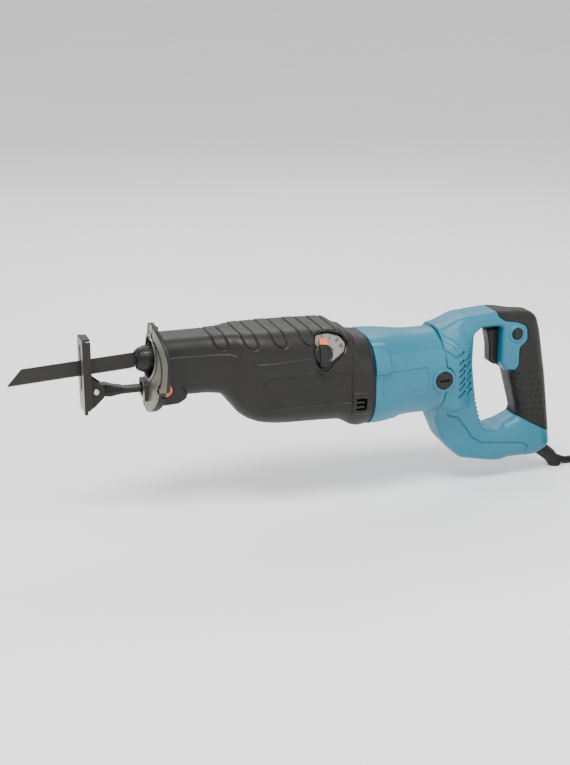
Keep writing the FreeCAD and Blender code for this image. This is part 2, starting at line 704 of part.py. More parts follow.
def rear_bearing():
    return ball_bearing(axis_at(REAR_BEARING_X), X_AXIS, REAR_BEARING_R, REAR_SHAFT_R + RUN,
                        REAR_BEARING_W)


def stator():
    x0, x1 = STATOR_X
    body = tube(axis_at(x0), X_AXIS, MOTOR_R - MOTOR_WALL - 0.1, STATOR_BORE, x1 - x0)
    for sign in (1, -1):
        pocket = box(x0 - 1, x1 + 1, -14, 14, 0, 12)
        pocket.translate(V(0, 0, MOTOR_Z + (28 if sign > 0 else -40)))
        body = body.cut(pocket)
    return body


def motor_collar():
    body = skin(COLLAR, 0.0)
    body = body.cut(rod(axis_at(GEARBOX_BACK), X_AXIS, 44.2, 40.0))
    for sign in (1, -1):
        for index in range(3):
            low = -58.5 + 5.2 * index
            slit = box(222.5, 233.5, min(sign * 35, sign * 60), max(sign * 35, sign * 60),
                       low, low + 2.8)
            body = body.cut(slit)
    return body


def air_baffle():
    start = axis_at(MOTOR_FRONT - 12)
    body = union([tube(start, X_AXIS, 44.0, 30.0, 2.0), tube(start, X_AXIS, 32.0, 30.0, 10.0)])
    for y, z in case_screw_places():
        body = body.cut(rod(V(MOTOR_FRONT - 13, y, z), X_AXIS, CASE_SCREW_R + 0.2, 5.0))
    return body


def motor_housing():
    pieces = [
        rod(axis_at(MOTOR_FRONT), X_AXIS, BAND_R, BAND_BACK - MOTOR_FRONT),
        rod(axis_at(BAND_BACK), X_AXIS, MOTOR_R, SEAM_X - BAND_BACK),
        rod(axis_at(SEAM_X), X_AXIS, BELL_R, BELL_BACK - SEAM_X),
        rod(axis_at(BELL_BACK), X_AXIS, 15.0, REAR_BEARING_X + REAR_BEARING_W - BELL_BACK),
        rod(V(BRUSH_X, -BOSS_OUT, MOTOR_Z), Y_AXIS, BOSS_R, 2 * BOSS_OUT),
    ]
    body = union(pieces)
    body = body.cut(rod(axis_at(MOTOR_FRONT + 3.5), X_AXIS, MOTOR_R - MOTOR_WALL,
                        312.0 - MOTOR_FRONT - 3.5))
    body = body.cut(rod(axis_at(MOTOR_FRONT - 1), X_AXIS, 36.5, 10.0))
    body = body.cut(rod(axis_at(311.0), X_AXIS, 30.0, BELL_BACK - 3 - 311.0))
    body = body.cut(rod(axis_at(BELL_BACK - 5), X_AXIS, 8.0, 30.0))
    body = body.cut(rod(axis_at(REAR_BEARING_X), X_AXIS, REAR_BEARING_R, 20.0))
    for sign in (1, -1):
        start = V(BRUSH_X, sign * 20, MOTOR_Z)
        body = body.cut(rod(start, Y_AXIS * sign, 9.0, 21.0))
        body = body.cut(rod(V(BRUSH_X, sign * CAP_IN, MOTOR_Z), Y_AXIS * sign, CAP_R, 10.0))
    for y, z in case_screw_places():
        body = body.cut(rod(V(MOTOR_FRONT - 1, y, z), X_AXIS, CASE_SCREW_R, 10.0))
    return body.removeSplitter()


def case_screws():
    screws = []
    for y, z in case_screw_places():
        shank = rod(V(GEARBOX_BACK - 13, y, z), X_AXIS, CASE_SCREW_R,
                    MOTOR_FRONT + 3.5 - GEARBOX_BACK + 13)
        head = rod(V(MOTOR_FRONT + 3.5, y, z), X_AXIS, 3.3, 1.4)
        screws.append(union([shank, head]))
    return Part.makeCompound(screws)


def brush_holders():
    inside = 17.0
    body = rod(V(BRUSH_X, inside, MOTOR_Z), Y_AXIS, 9.0, CAP_IN - inside)
    body = body.cut(box(BRUSH_X - 4.1, BRUSH_X + 4.1, inside - 1, CAP_IN + 1,
                        MOTOR_Z - 6.1, MOTOR_Z + 6.1))
    body = body.cut(box(BRUSH_X - 12, BRUSH_X + 12, inside - 1, 22.0, MOTOR_Z - 12, MOTOR_Z - 7.2))
    body = body.cut(box(BRUSH_X - 12, BRUSH_X + 12, inside - 1, 22.0, MOTOR_Z + 7.2, MOTOR_Z + 12))
    return both_sides(body)


def carbon_brushes():
    body = box(BRUSH_X - 4, BRUSH_X + 4, COMMUTATOR_R + 0.2, 32.0, MOTOR_Z - 6, MOTOR_Z + 6)
    body = body.cut(rod(axis_at(BRUSH_X - 20), X_AXIS, COMMUTATOR_R + 0.2, 40.0))
    return both_sides(body)


def brush_springs():
    return both_sides(tube(V(BRUSH_X, 32.0, MOTOR_Z), Y_AXIS, 3.6, 2.4, CAP_IN - 32.0))


def brush_caps():
    body = rod(V(BRUSH_X, CAP_IN, MOTOR_Z), Y_AXIS, CAP_R, 7.4)
    rim = [edge for edge in body.Edges if abs(edge.CenterOfMass.y - CAP_IN - 7.4) < 0.01]
    body = body.makeFillet(0.8, rim)
    body = body.cut(box(BRUSH_X - 7.5, BRUSH_X + 7.5, CAP_IN + 5.0, CAP_IN + 12,
                        MOTOR_Z - 1.2, MOTOR_Z + 1.2))
    return both_sides(body)


# ---- orbital dial -------------------------------------------------------------------------
KNOB_R = 10.5
KNOB_BASE = DIAL_FLOOR + 1.0
KNOB_TOP = 5.6
KNOB_REST = -6.0              # degrees, the lever at its first mark
GRIP_HALF = 4.6
GRIP_TAIL = -13.4
POINTER_IN = 9.5
POINTER_OUT = 17.0


def along_dial(start, radius, length, centre=DIAL_CENTRE):
    return rod(centre + DIAL_OUT * start, DIAL_OUT, radius, length)


def dial_turned(shape, degrees):
    """Turn a piece drawn about +Z, +X forward along the tool, into the dial's own plane."""
    shape.rotate(V(0, 0, 0), Z_AXIS, degrees)
    shape.rotate(V(0, 0, 0), X_AXIS, 90 - DIAL_LEAN)
    shape.translate(DIAL_CENTRE)
    return shape


def dial_base():
    """Cup in the shoulder whose rim follows the cover."""
    body = along_dial(DIAL_SEAT, DIAL_R, 18.0, CUP_CENTRE).common(skin(GEARBOX, 0.0))
    body = body.cut(along_dial(DIAL_FLOOR, DIAL_R - 1.8, 20.0, CUP_CENTRE))
    return body.cut(along_dial(DIAL_SEAT - 1, 5.0, 10.0)).removeSplitter()


def dial_plate():
    """Silver quadrant that carries the marks."""
    wedge = Part.makeCylinder(2 * DIAL_R, 0.7, V(0, 0, DIAL_FLOOR), Z_AXIS, 128)
    wedge = wedge.cut(Part.makeCylinder(KNOB_R - 2.5, 4, V(0, 0, DIAL_FLOOR - 1)))
    return dial_turned(wedge, -28).common(along_dial(DIAL_FLOOR, DIAL_R - 2.2, 10.0, CUP_CENTRE))


def orbit_lever():
    disc = Part.makeCylinder(KNOB_R, 3.0, V(0, 0, KNOB_BASE))
    grip = box(-GRIP_HALF, GRIP_HALF, GRIP_TAIL, POINTER_IN, KNOB_BASE, KNOB_TOP)
    uprights = [e for e in grip.Edges if e.BoundBox.ZLength > 1]
    grip = grip.makeFillet(1.4, uprights)
    stem = Part.makeCylinder(4.0, 9.0, V(0, 0, KNOB_BASE - 8.5))
    body = union([disc, grip, stem])
    body = body.cut(box(-20, 20, POINTER_IN, 30, KNOB_BASE - 1, 9.0))
    return dial_turned(body.removeSplitter(), KNOB_REST)


def lever_pointer():
    low = KNOB_BASE + 0.6
    half = GRIP_HALF - 0.6
    return dial_turned(box(-half, half, POINTER_IN, POINTER_OUT, low, KNOB_TOP - 1.0), KNOB_REST)


def cam_pin():
    """Stub on the lever's inner end, off its axis, that sets the plunger guide's swing."""
    return dial_turned(Part.makeCylinder(2.0, 1.2, V(1.6, 0, KNOB_BASE - 9.7)), KNOB_REST)


# ---- handle -------------------------------------------------------------------------------
HANDLE_OUTLINE = [
    (300.0, 8.0), (328.0, 13.5), (350.0, 23.5), (388.0, 26.5), (441.0, 20.5), (447.0, 0.0),
    (456.5, -52.0), (467.5, -134.0), (462.0, -141.5), (449.0, -147.5), (394.0, -143.5),
    (357.0, -132.5), (336.0, -112.0), (315.0, -78.0), (300.0, -60.0),
]
HANDLE_RADII = [1, 30, 30, 40, 14, 40, 200, 8, 6, 8, 60, 16, 30, 20, 1]
GAP_OUTLINE = [
    (363.5, 3.0), (373.0, 10.0), (408.5, 10.0), (410.5, -42.0), (425.5, -96.0), (408.0, -103.5),
    (397.0, -110.5), (379.0, -106.5), (369.5, -73.0), (363.0, -28.0),
]
GAP_RADII = [7, 7, 5, 60, 7, 8, 10, 10, 60, 60]
BELL = [
    (SEAM_X + 0.3, MOTOR_R, MOTOR_Z + MOTOR_R, MOTOR_Z - MOTOR_R, MOTOR_R - 0.5),
    (336.0, 43.0, 13.5, -86.0, 38.0),
    (350.0, 33.0, 18.0, -88.0, 28.0),
    (362.0, 24.0, 18.0, -86.0, 18.0),
]
RUBBER_REGION = [
    (391.0, 60.0), (391.5, 21.5), (400.0, 16.0), (414.0, 13.5), (427.0, 8.0), (428.0, -8.0),
    (421.0, -30.0), (420.0, -42.0), (403.0, -42.5), (403.0, -70.0), (414.0, -98.0), (426.0, -97.0),
    (440.0, -102.0), (490.0, -130.0), (520.0, 60.0),
]


def inset_face(outline, radii, inset, y):
    wire = rounded_wire([V(x, y, z) for x, z in outline], radii)
    if abs(inset) < 1e-9:
        return Part.Face(wire)
    return Part.Face(wire).makeOffset2D(-inset, 0, False, False, False)


def handle_solid(inset):
    """Whole D handle and the bell that joins it to the motor, inset all over."""
    half = HANDLE_HALF - inset
    outer = inset_face(HANDLE_OUTLINE, HANDLE_RADII, inset, -half).extrude(V(0, 2 * half, 0))
    ends = [e for e in outer.Edges if abs(abs(e.CenterOfMass.y) - half) < 0.01]
    outer = outer.makeFillet(EDGE_ROUND - inset * 0.7, ends)
    behind = box(SEAM_X + 0.3 + inset, 600, -100, 100, -200, 100)
    bell = skin([(s[0], s[1], s[2], s[3], s[4]) for s in BELL], inset)
    body = outer.common(behind).fuse(bell.common(behind))
    gap = inset_face(GAP_OUTLINE, GAP_RADII, -inset, -60).extrude(V(0, 120, 0))
    body = body.cut(gap)
    if inset == 0.0:
        rims = []
        for edge in body.Edges:
            reach, middle = edge.BoundBox, edge.CenterOfMass
            flat = abs(abs(middle.y) - half) < 0.01 and reach.YLength < 0.01
            around = 364 < middle.x < 425 and middle.z > -109 and reach.XMax < 430
            if flat and around and reach.ZMin > -111 and reach.ZMax < 10.5:
                rims.append(edge)
        body = body.makeFillet(4.0, rims)
    return body.removeSplitter()


TRIGGER_FRONT = 384.6
TRIGGER_BACK = 418.0
TRIGGER_HALF = 8.0
LOCK_ON = (414.5, 0.5)
LOCK_ON_R = 6.0
SCREW_HEAD_Y = 15.0
CHEEK_OUTLINE = [(397.5, 12.0), (416.0, 12.0), (416.0, -42.0), (408.0, -42.0), (397.5, -31.0)]
CHEEK_HALF = 20.0
HANDLE_SCREWS = [(353.0, 12.0), (345.0, -110.0), (432.0, 12.5), (436.0, -60.0),
                 (446.0, -135.0), (385.0, -128.0)]


def cord_guard_axis():
    """Start, knee and end of the cord guard's centre line."""
    steep = math.radians(CORD_GUARD_SLOPE)
    shallow = math.radians(CORD_GUARD_END_SLOPE)
    start = V(455.0, 0, -138.5)
    knee = start + V(math.cos(steep), 0, -math.sin(steep)) * 26.0
    end = knee + V(math.cos(shallow), 0, -math.sin(shallow)) * 15.5
    return start, knee, end


def cord_guard():
    start, knee, end = cord_guard_axis()
    steep = (knee - start).normalize()
    shallow = (end - knee).normalize()
    first = Part.makeCone(8.2, 7.6, (knee - start).Length, start, steep)
    second = Part.makeCone(7.6, 7.2, (end - knee).Length, knee, shallow)
    elbow = Part.makeSphere(7.6, knee)
    collar = rod(start + steep * 1.0, steep, 10.5, 2.5)
    body = union([first, second, elbow, collar])
    return body.cut(rod(end - shallow * 11.0, shallow, CORD_D / 2, 20.0)).removeSplitter()


def handle_hollow():
    return handle_solid(HANDLE_WALL + RUBBER)


def trigger_cheeks():
    """Flat cheeks beside the trigger, ahead of the grip."""
    cheek = side_prism(CHEEK_OUTLINE, [1, 1, 1, 3, 6], TRIGGER_HALF + 0.4, CHEEK_HALF)
    rims = [edge for edge in cheek.Edges
            if abs(edge.CenterOfMass.y - CHEEK_HALF) < 0.01 and edge.CenterOfMass.x < 408]
    return both_sides(cheek.makeFillet(2.0, rims))


def rubber_region():
    return side_prism(RUBBER_REGION, 1.5, -60, 60)


def handle_shells():
    outer = handle_solid(0.0)
    region = rubber_region()
    core = handle_solid(RUBBER)
    body = outer.cut(region).fuse(core.common(region))
    body = body.cut(handle_hollow())
    body = body.fuse(trigger_cheeks().common(box(390.0, 411.5, -60, 60, -60, 11.0)))
    start, knee, _ = cord_guard_axis()
    steep = (knee - start).normalize()
    cuts = [
        rod(axis_at(SEAM_X - 5), X_AXIS, BELL_R + 0.3, BELL_BACK - SEAM_X + 5.3),
        rod(V(BRUSH_X, -60, MOTOR_Z), Y_AXIS, BOSS_R + 0.3, 120.0),
        rod(V(BELL_BACK - 1, 0, MOTOR_Z), X_AXIS, 15.5, 15.0),
        box(400.0, 430.0, -TRIGGER_HALF - 0.4, TRIGGER_HALF + 0.4, -38.5, 6.5),
        rod(V(LOCK_ON[0], -60, LOCK_ON[1]), Y_AXIS, LOCK_ON_R + 0.3, 60.0),
        rod(start - steep * 6, steep, 8.3, 30.0),
        rod(start + steep * 0.9, steep, 10.6, 2.7),
    ]
    for shape in cuts:
        body = body.cut(shape)
    walls = handle_solid(HANDLE_WALL)
    posts = []
    for x, z in HANDLE_SCREWS:
        posts.append(rod(V(x, -46, z), Y_AXIS, 4.2, 92.0).common(walls))
    body = union([body] + posts)
    for x, z in HANDLE_SCREWS:
        body = body.cut(rod(V(x, -10, z), Y_AXIS, 1.7, 70.0))
        body = body.cut(rod(V(x, SCREW_HEAD_Y, z), Y_AXIS, 3.3, 60.0))
    left = body.common(box(300, 600, -100, -0.02, -300, 100))
    right = body.common(box(300, 600, 0.02, 100, -300, 100))
    return left.removeSplitter(), right.removeSplitter()


def handle_screws():
    screws = []
    for x, z in HANDLE_SCREWS:
        shank = rod(V(x, -9.5, z), Y_AXIS, 1.7, SCREW_HEAD_Y + 9.5)
        head = rod(V(x, SCREW_HEAD_Y, z), Y_AXIS, 3.2, 2.0)
        screws.append(union([shank, head]))
    return Part.makeCompound(screws)


def grip_rubber():
    ring = handle_solid(0.0).cut(handle_solid(RUBBER))
    body = ring.common(rubber_region())
    for x, z in HANDLE_SCREWS:
        body = body.cut(rod(V(x, 0, z), Y_AXIS, 3.3, 60.0))
    start, knee, _ = cord_guard_axis()
    steep = (knee - start).normalize()
    body = body.cut(rod(start - steep * 6, steep, 10.6, 30.0))
    return body


def trigger():
    outline = [(TRIGGER_FRONT, 4.6), (TRIGGER_BACK, 4.6), (TRIGGER_BACK, -36.5),
               (TRIGGER_FRONT + 12, -36.5), (TRIGGER_FRONT + 5.5, -33.0), (TRIGGER_FRONT + 3.5, -14.0)]
    body = side_prism(outline, [3, 1, 1, 4, 4, 30], -TRIGGER_HALF, TRIGGER_HALF)
    return body


def switch_body():
    return box(424.0, 438.5, -9.0, 9.0, -46.0, -4.0)


def lock_on_button():
    x, z = LOCK_ON
    head = rod(V(x, -24.0, z), Y_AXIS, LOCK_ON_R, 11.0)
    crown = [edge for edge in head.Edges if abs(edge.CenterOfMass.y + 24.0) < 0.01]
    return head.makeFillet(1.0, crown)


def cord_clamp():
    return box(436.0, 452.0, -9.0, 9.0, -127.5, -122.5)


# ---- cord, coil and plug ------------------------------------------------------------------
def floor_z():
    """Lowest point of the guard's end, which stands on the floor."""
    end = cord_guard_axis()[2]
    shallow = math.radians(CORD_GUARD_END_SLOPE)
    return end.z - 7.2 * math.cos(shallow)


COIL_IN = COIL_MEAN_R - 1.5 * CORD_D
COIL_OUT = COIL_MEAN_R + 1.5 * CORD_D
OUTER_TURN_R = COIL_MEAN_R + CORD_D
COIL_CENTRE = V(556.0, -OUTER_TURN_R, 0)


def lead_route():
    """Lead from the guard along the floor to the coil's outer turn."""
    _, knee, end = cord_guard_axis()
    shallow = (end - knee).normalize()
    level = floor_z() + CORD_D / 2
    inside = end - shallow * 10.0
    touch = end + shallow * ((end.z - level) / -shallow.z)
    return [inside, touch, V(513.0, 1.2, level), V(534.0, 1.6, level), V(COIL_CENTRE.x, 0, level)]


def tail_route():
    """Tail from the coil's top outer turn down to the plug on the floor."""
    floor = floor_z()
    x = COIL_CENTRE.x
    y = COIL_CENTRE.y + OUTER_TURN_R
    return [V(x, y, floor + 20.0), V(x + 22, y + 1.5, floor + 18.5), V(x + 44, y - 2, floor + 11.5),
            V(x + 63, y - 13, floor + 5.5), V(x + 77, y - 30, floor + 4.0), V(x + 85, y - 50, floor + 4.0)]


def cord_tube(route):
    """Straight runs joined by tangent arcs, swept with the cord's round section."""
    edges = []
    last = route[0]
    for i in range(1, len(route) - 1):
        back = (route[i - 1] - route[i])
        ahead = (route[i + 1] - route[i])
        shorter = min(back.Length, ahead.Length)
        back = back.normalize()
        ahead = ahead.normalize()
        half_turn = (math.pi - back.getAngle(ahead)) / 2
        radius = 0.45 * shorter / math.tan(half_turn)
        start = route[i] + back * (0.45 * shorter)
        end = route[i] + ahead * (0.45 * shorter)
        inward = (back + ahead).normalize()
        crown = route[i] + inward * (radius / math.cos(half_turn) - radius)
        edges.append(Part.LineSegment(last, start).toShape())
        edges.append(Part.Arc(start, crown, end).toShape())
        last = end
    edges.append(Part.LineSegment(last, route[-1]).toShape())
    path = Part.Wire(edges)
    heading = (route[1] - route[0]).normalize()
    section = Part.Wire(Part.Circle(route[0], heading, CORD_D / 2).toShape())
    return path.makePipeShell([section], True, True)


def cord_coil():
    height = COIL_LAYERS * CORD_D
    centre = V(COIL_CENTRE.x, COIL_CENTRE.y, floor_z())
    ring = tube(centre, Z_AXIS, COIL_OUT, COIL_IN, height)
    return ring.makeFillet(3.0, ring.Edges)


PLUG_LENGTH = 42.0
PLUG_PIN_R = 2.4
PLUG_PIN_LENGTH = 19.0
PLUG_PIN_SPREAD = 19.0


def plug_heading():
    route = tail_route()
    return (route[-1] - route[-2]).normalize()


def plug_body():
    heading = plug_heading()
    rear = tail_route()[-1]
    sleeve = Part.makeCone(4.0, 6.5, 24.0, V(0, 0, 0), X_AXIS)
    block = Part.makeLoft([end_section(20.0, 7.0, 8.5, -4.0, 3.0, 0),
                           end_section(30.0, 15.0, 12.0, -4.0, 5.0, 0),
                           end_section(PLUG_LENGTH, 17.5, 12.5, -4.0, 5.0, 0)], True, True)
    body = union([sleeve, block])
    body = body.common(box(-5, 100, -40, 40, -4.0, 40))
    body.rotate(V(0, 0, 0), Z_AXIS, math.degrees(math.atan2(heading.y, heading.x)))
    body.translate(rear)
    return body


def plug_pins():
    heading = plug_heading()
    rear = tail_route()[-1]
    pins = []
    for sign in (1, -1):
        foot = V(PLUG_LENGTH, sign * PLUG_PIN_SPREAD / 2, 4.2)
        pins.append(rod(foot, X_AXIS, PLUG_PIN_R, PLUG_PIN_LENGTH))
    group = Part.makeCompound(pins)
    group.rotate(V(0, 0, 0), Z_AXIS, math.degrees(math.atan2(heading.y, heading.x)))
    group.translate(rear)
    return group


# ---- assembly -----------------------------------------------------------------------------
def all_nodes():
    left, right = handle_shells()
    return {
        "gear_housing": gear_housing(), "crank_cap": crank_cap(), "cap_screws": cap_screws(),
        "front_cover": front_cover(), "nose_guard": nose_guard(),
        "guide_pivot_pins": guide_pivot_pins(),
        "plunger_guide": plunger_guide(), "guide_bushings": guide_bushings(), "dust_seal": dust_seal(),
        "plunger": plunger(), "clamp_holder": clamp_holder(), "clamp_sleeve": clamp_sleeve(),
        "clamp_cross_pin": clamp_cross_pin(), "blade": blade(),
        "shoe_stem": shoe_stem(), "shoe_plate": shoe_plate(), "shoe_pin": shoe_pin(),
        "shoe_lock_button": shoe_lock_button(),
        "crank_gear": crank_gear(), "crank_shaft": crank_shaft(), "crank_pin": crank_pin(),
        "crank_roller": crank_roller(), "crank_bearings": crank_bearings(),
        "armature_shaft": armature_shaft(), "drive_pinion": drive_pinion(),
        "armature_core": armature_core(), "commutator": commutator(), "cooling_fan": cooling_fan(),
        "front_bearing": front_bearing(), "rear_bearing": rear_bearing(), "stator": stator(),
        "motor_collar": motor_collar(), "air_baffle": air_baffle(), "motor_housing": motor_housing(),
        "case_screws": case_screws(), "brush_holders": brush_holders(),
        "carbon_brushes": carbon_brushes(), "brush_springs": brush_springs(),
        "brush_caps": brush_caps(), "dial_base": dial_base(), "dial_plate": dial_plate(),
        "orbit_lever": orbit_lever(), "lever_pointer": lever_pointer(), "cam_pin": cam_pin(),
        "handle_shell_left": left, "handle_shell_right": right, "handle_screws": handle_screws(),
        "grip_rubber": grip_rubber(), "trigger": trigger(), "switch_body": switch_body(),
        "lock_on_button": lock_on_button(), "cord_clamp": cord_clamp(), "cord_guard": cord_guard(),
        "power_cord": cord_tube(lead_route()), "cord_coil": cord_coil(),
        "cord_tail": cord_tube(tail_route()), "plug_body": plug_body(), "plug_pins": plug_pins(),
    }


CORD_NODES = ("power_cord", "cord_coil", "cord_tail", "plug_body", "plug_pins")


def own_box(nodes):
    whole = FreeCAD.BoundBox()
    for name, shape in nodes.items():
        if name not in CORD_NODES:
            whole.add(shape.optimalBoundingBox(False))
    return whole


def main():
    os.makedirs("parts", exist_ok=True)
    nodes = all_nodes()
    whole = own_box(nodes)
    shift = V(-whole.Center.x, -whole.Center.y, -whole.ZMin)
    for name, shape in nodes.items():
        shape.translate(shift)
        shape.exportStep("parts/" + name + ".step")


main()
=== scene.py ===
import math

import bpy
import numpy as np
import openvdb
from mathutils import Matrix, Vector


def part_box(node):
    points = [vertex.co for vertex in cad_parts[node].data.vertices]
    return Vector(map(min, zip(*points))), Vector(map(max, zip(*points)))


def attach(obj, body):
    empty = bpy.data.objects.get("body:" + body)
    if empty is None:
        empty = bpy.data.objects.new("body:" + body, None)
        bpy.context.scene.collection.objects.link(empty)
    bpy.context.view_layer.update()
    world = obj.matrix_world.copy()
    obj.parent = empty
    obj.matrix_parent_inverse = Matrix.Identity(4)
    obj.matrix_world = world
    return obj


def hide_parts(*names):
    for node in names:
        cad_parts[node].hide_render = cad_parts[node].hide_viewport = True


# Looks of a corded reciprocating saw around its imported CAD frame. Shapes are written in the tool's
# own millimetres: X runs back from the nose to the handle, Z is up, -Y is the side with the dial.
# place() turns them into the row frame, in metres.
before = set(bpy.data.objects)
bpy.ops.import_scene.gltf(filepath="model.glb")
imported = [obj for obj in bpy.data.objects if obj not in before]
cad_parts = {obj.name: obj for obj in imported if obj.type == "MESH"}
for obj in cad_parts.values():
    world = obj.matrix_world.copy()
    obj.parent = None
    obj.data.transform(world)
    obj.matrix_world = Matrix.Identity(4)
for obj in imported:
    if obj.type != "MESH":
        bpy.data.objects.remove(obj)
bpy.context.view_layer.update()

MOTOR_Z = -35.0
MOTOR_FRONT = 245.0
BAND_R = 48.5
motor_lo, motor_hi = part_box("motor_housing")
SHIFT = np.array([motor_lo.x * 1000 - MOTOR_FRONT, 0.0, motor_hi.z * 1000 - MOTOR_Z - BAND_R])
FINE = 1.0


def place(points):
    return (np.asarray(points, float) + SHIFT) / 1000


def new_object(name, data):
    made = bpy.data.objects.new(name, data)
    bpy.context.scene.collection.objects.link(made)
    return made


# ---- camera -----------------------------------------------------------------------------------
AZIMUTH = math.radians(-18.5)
ELEVATION = math.radians(18.0)
DISTANCE = 1.45
AIM = Vector(place((155.0, 0.0, -35.0)))
camera = new_object("camera", bpy.data.cameras.new("camera"))
back = Vector((math.sin(AZIMUTH) * math.cos(ELEVATION), -math.cos(AZIMUTH) * math.cos(ELEVATION),
               math.sin(ELEVATION)))
camera.location = AIM + back * DISTANCE
camera.rotation_mode = "QUATERNION"
camera.rotation_quaternion = (-back).to_track_quat("-Z", "Y")
camera.data.sensor_width = 36.0
camera.data.lens = 64.8
camera.data.clip_start = 0.05
camera.data.clip_end = 60.0
bpy.context.scene.camera = camera


# ---- materials --------------------------------------------------------------------------------
def new_material(name):
    material = bpy.data.materials.new(name)
    material.use_nodes = True
    tree = material.node_tree
    shader = tree.nodes["Principled BSDF"]
    return material, tree, shader


def noise_of(tree, scale, detail, stretch):
    """Noise over object coordinates in millimetres."""
    coords = tree.nodes.new("ShaderNodeTexCoord")
    mapping = tree.nodes.new("ShaderNodeMapping")
    mapping.inputs["Scale"].default_value = [1000 * s for s in stretch]
    noise = tree.nodes.new("ShaderNodeTexNoise")
    noise.inputs["Scale"].default_value = scale
    noise.inputs["Detail"].default_value = detail
    noise.inputs["Roughness"].default_value = 0.55
    tree.links.new(coords.outputs["Object"], mapping.inputs["Vector"])
    tree.links.new(mapping.outputs["Vector"], noise.inputs["Vector"])
    return noise


def ramp_of(tree, source, low, high):
    """Colour ramp from the low tone to the high one, over the middle of the noise's range."""
    ramp = tree.nodes.new("ShaderNodeValToRGB")
    for element, position, color in zip(ramp.color_ramp.elements, (0.3, 0.7), (low, high)):
        element.position, element.color = position, (*color, 1)
    tree.links.new(source, ramp.inputs["Fac"])
    return ramp


def finish_of(name, low, high, rough=(0.4, 0.5), grain=0.45, depth=0.02, metal=0.0,
              specular=0.5, stretch=(1, 1, 1), broad=0.02):
    """Colour that drifts between two tones, grain in the bump, and a drifting roughness."""
    material, tree, shader = new_material(name)
    cloud = noise_of(tree, broad, 4.0, stretch)
    tones = ramp_of(tree, cloud.outputs["Fac"], low, high)
    tree.links.new(tones.outputs["Color"], shader.inputs["Base Color"])
    gloss = noise_of(tree, broad * 4, 3.0, stretch)
    span = tree.nodes.new("ShaderNodeMapRange")
    span.inputs["From Min"].default_value = 0.3
    span.inputs["From Max"].default_value = 0.7
    span.inputs["To Min"].default_value = rough[0]
    span.inputs["To Max"].default_value = rough[1]
    tree.links.new(gloss.outputs["Fac"], span.inputs["Value"])
    tree.links.new(span.outputs["Result"], shader.inputs["Roughness"])
    fine = noise_of(tree, grain, 2.0, stretch)
    bump = tree.nodes.new("ShaderNodeBump")
    bump.inputs["Strength"].default_value = 1.0
    bump.inputs["Distance"].default_value = depth / 1000
    tree.links.new(fine.outputs["Fac"], bump.inputs["Height"])
    tree.links.new(bump.outputs["Normal"], shader.inputs["Normal"])
    shader.inputs["Metallic"].default_value = metal
    shader.inputs["Specular IOR Level"].default_value = specular
    return material


TEAL = finish_of("teal_plastic", (0.010, 0.130, 0.200), (0.015, 0.160, 0.240), (0.34, 0.44),
                 grain=0.9, depth=0.03, specular=0.4)
RUBBER = finish_of("cover_rubber", (0.0085, 0.0085, 0.0070), (0.0140, 0.0135, 0.0110),
                   (0.40, 0.52), grain=0.8, depth=0.045, specular=0.26)
GRIP = finish_of("grip_rubber", (0.0070, 0.0075, 0.0060), (0.0115, 0.0115, 0.0095), (0.42, 0.54),
                 grain=1.1, depth=0.05, specular=0.26)
BLACK = finish_of("black_plastic", (0.006, 0.0065, 0.006), (0.010, 0.0105, 0.0095), (0.30, 0.42),
                  grain=1.0, depth=0.02, specular=0.28)
SATIN = finish_of("satin_plate", (0.20, 0.19, 0.165), (0.29, 0.275, 0.245), (0.36, 0.5),
                  grain=0.9, depth=0.02, metal=0.85, stretch=(1, 1, 0.15))
FORGED = finish_of("black_oxide", (0.010, 0.010, 0.0085), (0.024, 0.022, 0.018), (0.32, 0.5),
                   grain=0.5, depth=0.05, metal=0.5, specular=0.3)
BLADE = finish_of("blade_paint", (0.014, 0.014, 0.012), (0.024, 0.023, 0.020), (0.44, 0.58),
                  grain=0.6, depth=0.015, metal=0.2, specular=0.3, stretch=(0.12, 1, 1))
RED = finish_of("red_plastic", (0.42, 0.075, 0.032), (0.50, 0.10, 0.045), (0.35, 0.45), depth=0.02)
ORANGE = finish_of("orange_plastic", (0.75, 0.12, 0.03), (0.85, 0.16, 0.05), (0.35, 0.45), depth=0.02)
SILVER = finish_of("silver_plate", (0.19, 0.187, 0.165), (0.25, 0.245, 0.22), (0.4, 0.55),
                   grain=0.7, depth=0.01, metal=0.4)
INK = finish_of("black_print", (0.008, 0.008, 0.008), (0.015, 0.015, 0.014), (0.4, 0.5), depth=0.005)
STEEL = finish_of("bright_steel", (0.42, 0.42, 0.41), (0.56, 0.56, 0.54), (0.22, 0.36),
                  grain=0.5, depth=0.01, metal=1.0)
CAST = finish_of("cast_aluminium", (0.36, 0.37, 0.38), (0.46, 0.47, 0.48), (0.4, 0.6),
                 grain=0.35, depth=0.06, metal=1.0)
BRONZE = finish_of("sintered_bronze", (0.42, 0.26, 0.10), (0.52, 0.34, 0.14), (0.35, 0.5), metal=1.0)
COPPER = finish_of("copper_winding", (0.48, 0.16, 0.07), (0.62, 0.24, 0.11), (0.25, 0.4),
                   grain=0.3, depth=0.08, metal=1.0)
CARBON = finish_of("carbon", (0.02, 0.02, 0.02), (0.035, 0.035, 0.035), (0.5, 0.7), depth=0.03)
BRASS = finish_of("brass", (0.55, 0.38, 0.13), (0.68, 0.50, 0.20), (0.2, 0.34), grain=0.5, depth=0.01,
                  metal=1.0)
LAMINATION = finish_of("lamination", (0.20, 0.20, 0.20), (0.34, 0.34, 0.33), (0.35, 0.5), grain=0.3,
                       depth=0.05, metal=0.9, stretch=(8, 1, 1))
CORD_SKIN = finish_of("cord_rubber", (0.007, 0.0075, 0.007), (0.012, 0.0125, 0.0115), (0.45, 0.58),
                      grain=0.7, depth=0.03, specular=0.28)
CHARCOAL = finish_of("charcoal_paint", (0.012, 0.012, 0.010), (0.022, 0.021, 0.018), (0.40, 0.52),
                     grain=0.6, depth=0.03, metal=0.3, specular=0.3)


